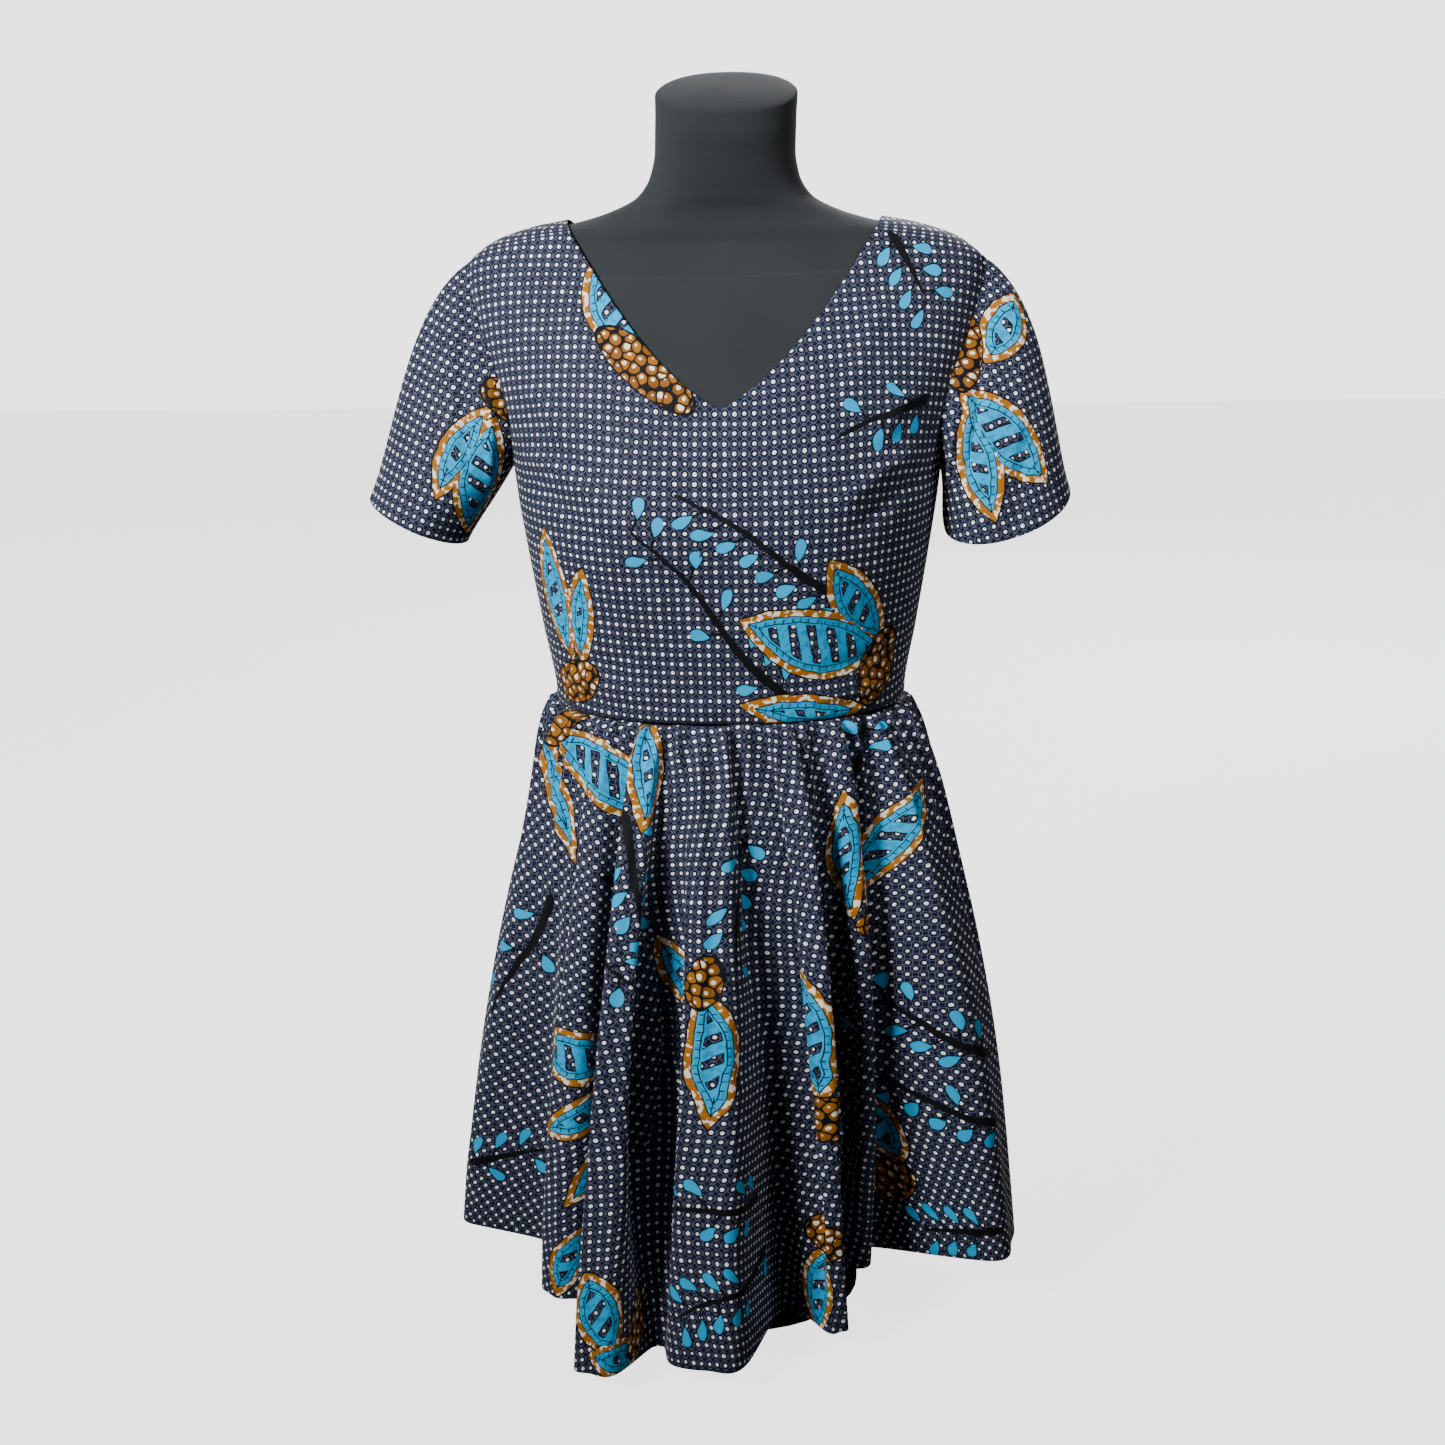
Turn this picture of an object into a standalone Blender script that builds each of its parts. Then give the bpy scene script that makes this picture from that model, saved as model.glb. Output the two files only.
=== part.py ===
import math
from collections import namedtuple

import bpy
from mathutils import Vector

# Driving dimensions in metres. The front faces -Y and the floor is at zero.
HEM_CLEARANCE = 0.022
SKIRT_DROP = 0.490
WAIST_HEIGHT = HEM_CLEARANCE + SKIRT_DROP
WALL = 0.0015
SEAM_GAP = 0.0003

# Heights above the waist seam.
UNDERARM = 0.193
V_POINT = 0.240
SHOULDER_TIP = 0.3435
NECK_POINT = 0.375
BACK_NECK = 0.347
FORM_BOTTOM = -0.250
CAP_START = 0.420
NECK_TOP = 0.467
CAP_TILT = math.radians(16.0)
NECK_LEAN = 0.0035

# How far the neckline bows outward and how blunt its point is, and how the cross
# sections square up.
NECKLINE_BOW = 0.58
NECKLINE_POINT = 0.05
SECTION_POWER = 2.3
SIDE_ANGLE = math.pi / 2

# The torso with the dress on. Height is above the waist seam, centre is how far the
# section lies behind the axis, and ease is the air between the cloth and the form.
TorsoSection = namedtuple("TorsoSection", "height half_width front_depth back_depth centre ease")
TORSO = [
    TorsoSection(-0.250, 0.1440, 0.0930, 0.0960, 0.000, 0.003),
    TorsoSection(-0.232, 0.1560, 0.1020, 0.1060, 0.000, 0.003),
    TorsoSection(-0.160, 0.1620, 0.1080, 0.1120, 0.000, 0.003),
    TorsoSection(-0.100, 0.1560, 0.1070, 0.1060, 0.000, 0.003),
    TorsoSection(-0.045, 0.1440, 0.1050, 0.0960, 0.000, 0.004),
    TorsoSection(0.000, 0.1390, 0.1040, 0.0900, 0.000, 0.005),
    TorsoSection(0.060, 0.1485, 0.1100, 0.0940, 0.000, 0.004),
    TorsoSection(0.108, 0.1565, 0.1150, 0.0980, 0.000, 0.003),
    TorsoSection(0.156, 0.1640, 0.1170, 0.1010, 0.000, 0.0036),
    TorsoSection(0.193, 0.1690, 0.1150, 0.1030, 0.002, 0.0044),
    TorsoSection(0.240, 0.1800, 0.1050, 0.1030, 0.005, 0.0038),
    TorsoSection(0.280, 0.1910, 0.0890, 0.0980, 0.009, 0.0030),
    TorsoSection(0.310, 0.1975, 0.0730, 0.0880, 0.012, 0.0032),
    TorsoSection(0.330, 0.2005, 0.0620, 0.0770, 0.014, 0.0030),
    TorsoSection(0.3435, 0.1990, 0.0550, 0.0660, 0.015, 0.0028),
    TorsoSection(0.352, 0.1905, 0.0510, 0.0600, 0.015, 0.0026),
    TorsoSection(0.360, 0.1780, 0.0485, 0.0560, 0.015, 0.0028),
    TorsoSection(0.366, 0.1620, 0.0475, 0.0540, 0.0145, 0.0024),
    TorsoSection(0.371, 0.1440, 0.0465, 0.0530, 0.014, 0.0022),
    TorsoSection(0.375, 0.1220, 0.0460, 0.0520, 0.014, 0.0019),
    TorsoSection(0.383, 0.0930, 0.0450, 0.0500, 0.012, 0.002),
    TorsoSection(0.394, 0.0690, 0.0455, 0.0500, 0.009, 0.001),
    TorsoSection(0.409, 0.0600, 0.0470, 0.0510, 0.006, 0.001),
    TorsoSection(0.427, 0.0570, 0.0490, 0.0530, 0.004, 0.001),
    TorsoSection(0.450, 0.0570, 0.0500, 0.0540, 0.002, 0.001),
    TorsoSection(0.467, 0.0575, 0.0500, 0.0540, 0.002, 0.001),
]

# One bust cup on each side of the front: its place, reach and how far it stands out.
BUST_SIDE = 0.078
BUST_HEIGHT = 0.150
BUST_SPREAD = 0.045
BUST_RISE = 0.045
BUST_DEPTH = 0.012

# The armhole on the torso: how far it eats into the front and the back, in degrees
# round the section, and how much more of that lies low down.
ARMHOLE_FRONT = 17.0
ARMHOLE_BACK = 30.0
ARMHOLE_LOW = 10.0

# The row of points from the neckline to the underarm dips this far below a straight
# line, and the centre back seam takes up this share of the back's inner edge.
UNDERARM_DIP = 0.030
CENTRE_BACK_SHARE = 0.45

# Each sleeve ends in an oval cuff. Tilt is the rise of its outer edge in degrees, and
# droop is how far its front hangs below its middle.
Cuff = namedtuple("Cuff", "side centre_x centre_y centre_z half_width half_depth tilt droop")
CUFFS = {
    "sleeve_left": Cuff(-1, 0.2450, -0.002, 0.1440, 0.0415, 0.047, 25.0, 0.002),
    "sleeve_right": Cuff(1, 0.2200, -0.002, 0.1480, 0.0505, 0.045, 16.0, 0.016),
}
SLEEVE_SHRINK = 0.0007
SLEEVE_LIFT = 0.0006

# The skirt without its folds. Fall runs from the waist seam to the hem, and gather is
# how far the small gathers stand in and out.
SkirtSection = namedtuple("SkirtSection", "fall half_width front_depth back_depth gather")
SKIRT = [
    SkirtSection(0.000, 0.1390, 0.1040, 0.0900, 0.0006),
    SkirtSection(0.020, 0.1455, 0.1075, 0.0945, 0.0018),
    SkirtSection(0.050, 0.1530, 0.1130, 0.1010, 0.0025),
    SkirtSection(0.100, 0.1610, 0.1195, 0.1090, 0.0024),
    SkirtSection(0.170, 0.1685, 0.1275, 0.1185, 0.0014),
    SkirtSection(0.260, 0.1760, 0.1365, 0.1305, 0.0005),
    SkirtSection(0.370, 0.1840, 0.1460, 0.1430, 0.0),
    SkirtSection(0.500, 0.1915, 0.1545, 0.1540, 0.0),
    SkirtSection(0.640, 0.1975, 0.1615, 0.1620, 0.0),
    SkirtSection(0.780, 0.2015, 0.1660, 0.1675, 0.0),
    SkirtSection(0.900, 0.2040, 0.1690, 0.1705, 0.0),
    SkirtSection(1.000, 0.2050, 0.1710, 0.1720, 0.0),
]
SKIRT_LEAN = 0.0035
LEAN_START = 0.12
GATHER_COLUMNS = 4
PANEL_COLUMNS = 72

# One row for each fold of the skirt, seen from above, in degrees from the front, with
# positive angles to the viewer's right. Span is half the width of the fold's crest,
# and the valley is the one on the fold's right.
# Growth is high for a fold that starts low down, and rise is how far its hem hangs
# above the lowest point of the hem.
Fold = namedtuple(
    "Fold", "waist_angle hem_angle span radius valley_angle valley_radius growth rise"
)
FRONT_FOLDS = [
    Fold(-66.0, -87.0, 7.0, 0.2300, -71.0, 0.1620, 1.05, 0.044),
    Fold(-40.0, -50.0, 5.5, 0.1930, -36.0, 0.1450, 0.95, 0.024),
    Fold(-23.0, -26.5, 4.5, 0.2370, -18.5, 0.1780, 0.70, 0.000),
    Fold(-5.0, -4.5, 8.0, 0.2100, 21.5, 0.1150, 0.80, 0.002),
    Fold(17.0, 30.5, 3.5, 0.1710, 43.0, 0.1100, 0.85, 0.004),
    Fold(37.0, 54.0, 3.5, 0.1360, 66.0, 0.1240, 0.90, 0.028),
    Fold(62.0, 79.0, 10.0, 0.2320, 100.0, 0.1730, 0.75, 0.034),
]
BACK_FOLDS = [
    Fold(114.0, 113.0, 4.5, 0.2240, 123.5, 0.1640, 0.75, 0.030),
    Fold(132.0, 135.0, 6.0, 0.2130, 146.5, 0.1480, 0.85, 0.014),
    Fold(152.0, 156.0, 4.0, 0.2290, 165.0, 0.1600, 0.75, 0.005),
    Fold(176.0, 177.0, 7.5, 0.2120, 190.5, 0.1420, 0.90, 0.000),
    Fold(204.0, 200.0, 4.0, 0.2260, 210.0, 0.1620, 0.80, 0.007),
    Fold(226.0, 221.5, 5.5, 0.2110, 232.5, 0.1500, 0.90, 0.020),
    Fold(246.0, 244.0, 5.0, 0.2260, 257.0, 0.1690, 1.00, 0.032),
]
CREST_DROP = 0.975
CREST_SHARE = 0.22

# The plain stand under the form.
BASE_RADIUS = 0.100
BASE_THICKNESS = 0.010
POLE_RADIUS = 0.0125
COLLAR_RADIUS = 0.022
COLLAR_HEIGHT = 0.018
FLANGE_RADIUS = 0.038
FLANGE_HEIGHT = 0.005
EDGE_BEVEL = 0.0015
ROUND_SEGMENTS = 40
SHARP_ANGLE = math.radians(50.0)

# Surface colours, given as linear red, green and blue.
CLOTH_COLOUR = (0.012, 0.035, 0.130)
JERSEY_COLOUR = (0.020, 0.023, 0.026)
STEEL_COLOUR = (0.030, 0.031, 0.033)


def clear_scene():
    for item in list(bpy.data.objects):
        bpy.data.objects.remove(item, do_unlink=True)


def make_material(name, colour, roughness, metallic):
    material = bpy.data.materials.new(name)
    material.use_nodes = True
    shader = material.node_tree.nodes["Principled BSDF"]
    shader.inputs["Base Color"].default_value = (*colour, 1.0)
    shader.inputs["Roughness"].default_value = roughness
    shader.inputs["Metallic"].default_value = metallic
    material.diffuse_color = (*colour, 1.0)
    return material


def between(table, place, column):
    """A smooth value of one column of a table, read at a place in its first column."""
    places = [row[0] for row in table]
    values = [getattr(row, column) for row in table]
    if place <= places[0]:
        return values[0]
    if place >= places[-1]:
        return values[-1]
    last = len(places) - 1
    low = max(i for i in range(last) if places[i] <= place)
    slopes = [(values[i + 1] - values[i]) / (places[i + 1] - places[i]) for i in range(last)]

    def tangent(i):
        if i in (0, last):
            return slopes[min(i, last - 1)]
        if slopes[i - 1] * slopes[i] <= 0.0:
            return 0.0
        return 2.0 * slopes[i - 1] * slopes[i] / (slopes[i - 1] + slopes[i])

    width = places[low + 1] - places[low]
    t = (place - places[low]) / width
    return (
        values[low] * (1 + 2 * t) * (1 - t) ** 2
        + values[low + 1] * t * t * (3 - 2 * t)
        + tangent(low) * width * t * (1 - t) ** 2
        - tangent(low + 1) * width * t * t * (1 - t)
    )


def torso(angle, height):
    """The cloth's outer surface, at an angle from the front round to the back."""
    half_width = between(TORSO, height, "half_width")
    centre = between(TORSO, height, "centre")
    across = math.sin(angle)
    along = math.sqrt(max(0.0, 1.0 - abs(across) ** SECTION_POWER))
    x = half_width * across
    if math.cos(angle) < 0.0:
        return Vector((x, centre + between(TORSO, height, "back_depth") * along, height))
    bust_x = (abs(x) - BUST_SIDE) / BUST_SPREAD
    bust_z = (height - BUST_HEIGHT) / BUST_RISE
    bust = BUST_DEPTH * math.exp(-0.5 * (bust_x ** 2 + bust_z ** 2)) * math.cos(angle) ** 0.5
    return Vector((x, centre - between(TORSO, height, "front_depth") * along - bust, height))


def torso_normal(angle, height):
    step = 1e-4
    round_it = torso(angle + step, height) - torso(angle - step, height)
    up_it = torso(angle, height + step) - torso(angle, height - step)
    return round_it.cross(up_it).normalized()


def torso_angle(x, height, back=False):
    """The angle at which the section at this height is x wide."""
    share = min(1.0, x / between(TORSO, height, "half_width"))
    angle = math.asin(share)
    return math.pi - angle if back else angle


def cloth_solid(name, quads, outer, inner, material):
    """A closed wall from faces over named points, with its outer and inner points given."""
    keys = sorted({key for quad in quads for key in quad})
    index = {key: i for i, key in enumerate(keys)}
    count = len(keys)
    points = [outer[key] for key in keys] + [inner[key] for key in keys]
    faces = []
    directed = set()
    for quad in quads:
        ring = [index[key] for key in quad]
        faces.append(ring)
        faces.append([count + i for i in reversed(ring)])
        directed.update(zip(ring, ring[1:] + ring[:1]))
    for start, end in directed:
        if (end, start) not in directed:
            faces.append([end, start, count + start, count + end])
    lifted = [point + Vector((0.0, 0.0, WAIST_HEIGHT)) for point in points]
    return add_object(name, lifted, faces, material)


def add_object(name, points, faces, material):
    mesh = bpy.data.meshes.new(name)
    mesh.from_pydata([tuple(point) for point in points], [], faces)
    mesh.update()
    mesh.materials.append(material)
    mesh.shade_smooth()
    mesh.set_sharp_from_angle(angle=SHARP_ANGLE)
    item = bpy.data.objects.new(name, mesh)
    bpy.context.scene.collection.objects.link(item)
    return item


# Bodice
def seam_angle(height, back):
    """The side of the torso, kept half a seam gap short of the neighbouring panel."""
    depth = between(TORSO, height, "back_depth" if back else "front_depth")
    short = 0.5 * SEAM_GAP / depth
    return SIDE_ANGLE + short if back else SIDE_ANGLE - short


def armhole(turn, back):
    """Angle and height of the armhole, for a turn of zero at the tip and pi under the arm."""
    middle = 0.5 * (SHOULDER_TIP + UNDERARM)
    height = middle + 0.5 * (SHOULDER_TIP - UNDERARM) * math.cos(turn)
    reach = ARMHOLE_BACK if back else ARMHOLE_FRONT
    bite = math.radians(math.sin(turn) * (reach - ARMHOLE_LOW * math.cos(turn)))
    side = seam_angle(height, back)
    return (side + bite if back else side - bite), height


def front_neckline(share):
    height = V_POINT + (NECK_POINT - V_POINT) * share
    low = NECKLINE_POINT ** NECKLINE_BOW
    high = (1.0 + NECKLINE_POINT) ** NECKLINE_BOW
    opened = ((share + NECKLINE_POINT) ** NECKLINE_BOW - low) / (high - low)
    x = between(TORSO, NECK_POINT, "half_width") * opened
    return min(torso_angle(x, height), seam_angle(height, False)), height


def back_neckline(share):
    """Up the centre back first, then round the neckline to the shoulder."""
    if share <= CENTRE_BACK_SHARE:
        height = V_POINT + (BACK_NECK - V_POINT) * share / CENTRE_BACK_SHARE
        return math.pi - centre_gap(height), height
    sweep = SIDE_ANGLE * (share - CENTRE_BACK_SHARE) / (1.0 - CENTRE_BACK_SHARE)
    height = BACK_NECK + (NECK_POINT - BACK_NECK) * (1.0 - math.cos(sweep))
    x = between(TORSO, NECK_POINT, "half_width") * math.sin(sweep)
    angle = max(torso_angle(x, height, back=True), seam_angle(height, True))
    return min(angle, math.pi - centre_gap(height)), height


def centre_gap(height):
    return 0.5 * SEAM_GAP / between(TORSO, height, "half_width")


def half_panel(back):
    """Angle and height of each grid point of one half of the front or the back."""
    columns = 10
    low_rows = 6
    high_rows = [0.0, 0.10, 0.22, 0.35, 0.45, 0.57, 0.69, 0.79, 0.87, 0.93, 0.97, 1.0]
    neckline = back_neckline if back else front_neckline

    def middle_row(u):
        inner_angle, inner_height = neckline(0.0)
        dip = UNDERARM_DIP * math.sin(math.pi * u ** 1.5)
        height = inner_height + (UNDERARM - inner_height) * u - dip
        side = seam_angle(UNDERARM, back)
        return inner_angle + (side - inner_angle) * u, height

    def shoulder(u):
        height = NECK_POINT + (SHOULDER_TIP - NECK_POINT) * u
        return seam_angle(height, back), height

    grid = {}
    for i in range(columns + 1):
        u = i / columns
        for j in range(low_rows):
            angle, height = middle_row(u)
            grid[i, j] = (angle, height * j / low_rows)
        for k, v in enumerate(high_rows):
            inner_edge = neckline(v)
            outer_edge = armhole(math.pi * (1.0 - v), back)
            low_edge = middle_row(u)
            high_edge = shoulder(u)
            corners = (neckline(0.0), armhole(math.pi, back), neckline(1.0), armhole(0.0, back))
            grid[i, low_rows + k] = tuple(
                (1 - u) * inner_edge[n] + u * outer_edge[n] + (1 - v) * low_edge[n] + v * high_edge[n]
                - (1 - u) * (1 - v) * corners[0][n] - u * (1 - v) * corners[1][n]
                - (1 - u) * v * corners[2][n] - u * v * corners[3][n]
                for n in (0, 1)
            )
    return grid, columns, low_rows, low_rows + len(high_rows) - 1


def bodice_points(grid, side):
    """Outer and inner points of a half panel on the given side of the body."""
    outer = {}
    inner = {}
    for key, (angle, height) in grid.items():
        point = torso(angle, height)
        lining = point - WALL * torso_normal(angle, height)
        if height <= 0.0:
            lining.z = height
        outer[key] = Vector((side * point.x, point.y, point.z))
        inner[key] = Vector((side * lining.x, lining.y, lining.z))
    return outer, inner


def make_bodice_front(material):
    grid, columns, low_rows, rows = half_panel(back=False)
    outer = {}
    inner = {}
    quads = []

    def name_point(side, i, j):
        return (0, 0, j) if i == 0 and j <= low_rows else (side, i, j)

    for side in (-1, 1):
        side_outer, side_inner = bodice_points(grid, side)
        for (i, j), point in side_outer.items():
            outer[name_point(side, i, j)] = point
            inner[name_point(side, i, j)] = side_inner[i, j]
        for i in range(columns):
            for j in range(rows):
                quad = [(i, j), (i + 1, j), (i + 1, j + 1), (i, j + 1)]
                if side < 0:
                    quad.reverse()
                quads.append([name_point(side, *corner) for corner in quad])
    for j in range(low_rows + 1):
        outer[0, 0, j].x = 0.0
        inner[0, 0, j].x = 0.0
    return cloth_solid("bodice_front", quads, outer, inner, material)


def make_bodice_back(name, side, material):
    grid, columns, _, rows = half_panel(back=True)
    outer, inner = bodice_points(grid, side)
    quads = []
    for i in range(columns):
        for j in range(rows):
            quad = [(i, j), (i, j + 1), (i + 1, j + 1), (i + 1, j)]
            if side < 0:
                quad.reverse()
            quads.append(quad)
    return cloth_solid(name, quads, outer, inner, material)


# Sleeves
def sleeve_start(turn):
    """A point of the sleeve's top edge, just inside the armhole, on the viewer's right."""
    back = turn > math.pi
    loop_turn = 2 * math.pi - turn if back else turn
    angle, height = armhole(loop_turn, back)
    middle_height = 0.5 * (SHOULDER_TIP + UNDERARM)
    half_height = 0.5 * (SHOULDER_TIP - UNDERARM)
    shrink = 1.0 - SLEEVE_SHRINK / half_height
    height = middle_height + (height - middle_height) * shrink
    depth = between(TORSO, height, "back_depth" if back else "front_depth")
    sideways = SLEEVE_SHRINK * abs(math.sin(turn)) / depth
    angle += -sideways if back else sideways
    lift = SLEEVE_LIFT * 0.5 * (1.0 - math.cos(turn))
    return torso(angle, height) + lift * torso_normal(angle, height)


def sleeve_end(cuff, turn):
    tilt = math.radians(cuff.tilt)
    outward = Vector((math.cos(tilt), 0.0, math.sin(tilt)))
    forward = Vector((0.0, -cuff.half_depth, -cuff.droop))
    centre = Vector((cuff.centre_x, cuff.centre_y, cuff.centre_z))
    return (
        centre
        + outward * cuff.half_width * math.cos(turn)
        + forward * math.sin(turn)
    )


def sleeve_point(cuff, turn, fall):
    """A curve from the armhole to the cuff that leaves over the shoulder and turns down."""
    start = sleeve_start(turn)
    end = sleeve_end(cuff, turn)
    length = (end - start).length
    swell = math.sin(turn) ** 2
    top = max(0.0, math.cos(turn)) ** 3
    leave = Vector((
        0.42 + 0.25 * math.cos(turn) + 0.28 * swell + 0.25 * top,
        -0.42 * math.sin(turn),
        -0.86 + 0.06 * math.cos(turn) + 0.34 * swell + 0.25 * top,
    )).normalized() * length * 0.9
    tilt = math.radians(cuff.tilt)
    arrive = Vector((math.sin(tilt), 0.0, -math.cos(tilt))) * length * 0.8
    t = fall
    return (
        start * (1 + 2 * t) * (1 - t) ** 2
        + end * t * t * (3 - 2 * t)
        + leave * t * (1 - t) ** 2
        - arrive * t * t * (1 - t)
    )


def make_sleeve(name, material):
    cuff = CUFFS[name]
    columns = 24
    falls = [0.0, 0.07, 0.16, 0.28, 0.42, 0.57, 0.72, 0.87, 1.0]
    step = 1e-3
    outer = {}
    inner = {}
    for i in range(columns):
        turn = 2 * math.pi * i / columns
        for j, fall in enumerate(falls):
            point = sleeve_point(cuff, turn, fall)
            round_it = sleeve_point(cuff, turn + step, fall) - sleeve_point(cuff, turn - step, fall)
            down_it = sleeve_point(cuff, turn, fall + step) - sleeve_point(cuff, turn, fall - step)
            outward = round_it.cross(down_it).normalized()
            lining = point - WALL * outward
            outer[i, j] = Vector((cuff.side * point.x, point.y, point.z))
            inner[i, j] = Vector((cuff.side * lining.x, lining.y, lining.z))
    quads = []
    for i in range(columns):
        beside = (i + 1) % columns
        for j in range(len(falls) - 1):
            quad = [(i, j), (i, j + 1), (beside, j + 1), (beside, j)]
            if cuff.side > 0:
                quad.reverse()
            quads.append(quad)
    return cloth_solid(name, quads, outer, inner, material)


# Skirt
def hem_outline(folds):
    """Points of the hem: angle at the waist, angle and radius at the hem, growth, rise."""
    marks = []
    for n, fold in enumerate(folds):
        following = folds[(n + 1) % len(folds)]
        next_waist = following.waist_angle + (360.0 if n + 1 == len(folds) else 0.0)
        waist_step = CREST_SHARE * (next_waist - fold.waist_angle)
        edge = fold.radius * CREST_DROP
        halfway = 0.5 * (fold.waist_angle + next_waist)
        valley_growth = 0.5 * (fold.growth + following.growth)
        valley_rise = 0.5 * (fold.rise + following.rise)
        marks += [
            (fold.waist_angle - waist_step, fold.hem_angle - fold.span, edge) + fold[-2:],
            (fold.waist_angle, fold.hem_angle, fold.radius) + fold[-2:],
            (fold.waist_angle + waist_step, fold.hem_angle + fold.span, edge) + fold[-2:],
            (halfway, fold.valley_angle, fold.valley_radius, valley_growth, valley_rise),
        ]
    return marks


def smooth_value(before, start, end, after, t):
    """A smooth curve from start to end that knows the values on both sides of them."""
    return 0.5 * (
        2 * start
        + (end - before) * t
        + (2 * before - 5 * start + 4 * end - after) * t * t
        + (3 * start - before - 3 * end + after) * t ** 3
    )


def hem_columns():
    """Columns from the left side round: both angles, the hem's x and y, growth, rise."""
    marks = hem_outline(FRONT_FOLDS + BACK_FOLDS)
    count = len(marks)
    fine = 24
    samples = []
    for n in range(-count, 2 * count):
        turns = [(n + k) // count for k in (-1, 0, 1, 2)]
        four = [marks[(n + k) % count] for k in (-1, 0, 1, 2)]
        angles = [math.radians(four[k][1]) + 2 * math.pi * turns[k] for k in range(4)]
        waists = [math.radians(four[k][0]) + 2 * math.pi * turns[k] for k in range(4)]
        xs = [four[k][2] * math.sin(angles[k]) for k in range(4)]
        ys = [-four[k][2] * math.cos(angles[k]) for k in range(4)]
        for m in range(fine):
            t = m / fine
            x = smooth_value(*xs, t)
            y = smooth_value(*ys, t)
            turned = smooth_value(*angles, t)
            waist = waists[1] + (waists[2] - waists[1]) * t
            growth = four[1][3] + (four[2][3] - four[1][3]) * t
            rise = four[1][4] + (four[2][4] - four[1][4]) * (3 - 2 * t) * t * t
            samples.append((waist, turned, x, y, growth, rise))

    def panel(start, end):
        inside = [s for s in samples if start <= s[0] <= end]
        travelled = [0.0]
        for a, b in zip(inside, inside[1:]):
            travelled.append(travelled[-1] + math.hypot(b[2] - a[2], b[3] - a[3]))
        picked = []
        at = 0
        for i in range(PANEL_COLUMNS + 1):
            goal = travelled[-1] * i / PANEL_COLUMNS
            while at < len(travelled) - 2 and travelled[at + 1] < goal:
                at += 1
            t = (goal - travelled[at]) / (travelled[at + 1] - travelled[at])
            picked.append(tuple(a + (b - a) * t for a, b in zip(inside[at], inside[at + 1])))
        return picked

    front = panel(-SIDE_ANGLE, SIDE_ANGLE)
    back = panel(SIDE_ANGLE, 3 * SIDE_ANGLE)
    return front[:-1] + back[:-1]


def skirt_base(angle, fall):
    """The skirt with no folds in it, at an angle from the front."""
    half_width = between(SKIRT, fall, "half_width")
    depth = between(SKIRT, fall, "front_depth" if math.cos(angle) > 0.0 else "back_depth")
    power = SECTION_POWER + (2.0 - SECTION_POWER) * fall
    across = math.sin(angle)
    along = math.sqrt(max(0.0, 1.0 - abs(across) ** power))
    y = -depth * along if math.cos(angle) > 0.0 else depth * along
    return Vector((half_width * across, y, 0.0))


def skirt_point(column, index, fall):
    waist, turned, hem_x, hem_y, growth, rise = column
    base = skirt_base(waist + (turned - waist) * fall, fall)
    hem_base = skirt_base(turned, 1.0)
    fold = Vector((hem_x - hem_base.x, hem_y - hem_base.y, 0.0))
    outward = Vector((base.x, base.y, 0.0)).normalized()
    wave = math.cos(2 * math.pi * index / GATHER_COLUMNS)
    gather = between(SKIRT, fall, "gather") * wave
    point = base + fold * fall ** growth + outward * gather
    sway = math.sin(math.pi * min(1.0, fall + LEAN_START)) * min(1.0, fall / LEAN_START)
    point.x += SKIRT_LEAN * sway
    point.z = -SEAM_GAP - (SKIRT_DROP - SEAM_GAP) * fall + rise * fall ** 1.5
    return point


def make_skirt(material):
    columns = hem_columns()
    count = len(columns)
    falls = [row.fall for row in SKIRT]
    rows = len(falls) - 1
    middle = {}
    for i, column in enumerate(columns):
        for j, fall in enumerate(falls):
            middle[i, j] = skirt_point(column, i, fall)
    outward = {}
    along = {}
    for i, j in middle:
        round_it = middle[(i + 1) % count, j] - middle[(i - 1) % count, j]
        down_it = middle[i, min(j + 1, rows)] - middle[i, max(j - 1, 0)]
        normal = down_it.cross(round_it)
        if j == 0:
            normal.z = 0.0
        outward[i, j] = normal.normalized()
        along[i, j] = round_it.normalized()
    # Each panel stops half a seam gap short of the side seams.
    for n, name in enumerate(("skirt_front", "skirt_back")):
        first = n * PANEL_COLUMNS
        outer = {}
        inner = {}
        for i in range(PANEL_COLUMNS + 1):
            short = 0.5 * SEAM_GAP * {0: 1.0, PANEL_COLUMNS: -1.0}.get(i, 0.0)
            for j in range(rows + 1):
                place = ((first + i) % count, j)
                outer[i, j] = middle[place] + short * along[place]
                inner[i, j] = outer[i, j] - WALL * outward[place]
        quads = []
        for i in range(PANEL_COLUMNS):
            for j in range(rows):
                quads.append([(i, j), (i, j + 1), (i + 1, j + 1), (i + 1, j)])
        cloth_solid(name, quads, outer, inner, material)


# Dress form and stand
def form_point(angle, height):
    """The form's skin, inside the cloth by its wall and its ease."""
    inset = WALL + between(TORSO, height, "ease")
    side = -1.0 if math.sin(angle) < 0.0 else 1.0
    turned = 2 * math.pi - angle if side < 0.0 else angle
    point = torso(turned, height) - inset * torso_normal(turned, height)
    point.x *= side
    point.x += NECK_LEAN * max(0.0, (height - NECK_POINT) / (NECK_TOP - NECK_POINT))
    tilt = max(0.0, (height - CAP_START) / (NECK_TOP - CAP_START))
    point.z += tilt * math.tan(CAP_TILT) * point.y
    return point


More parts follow.
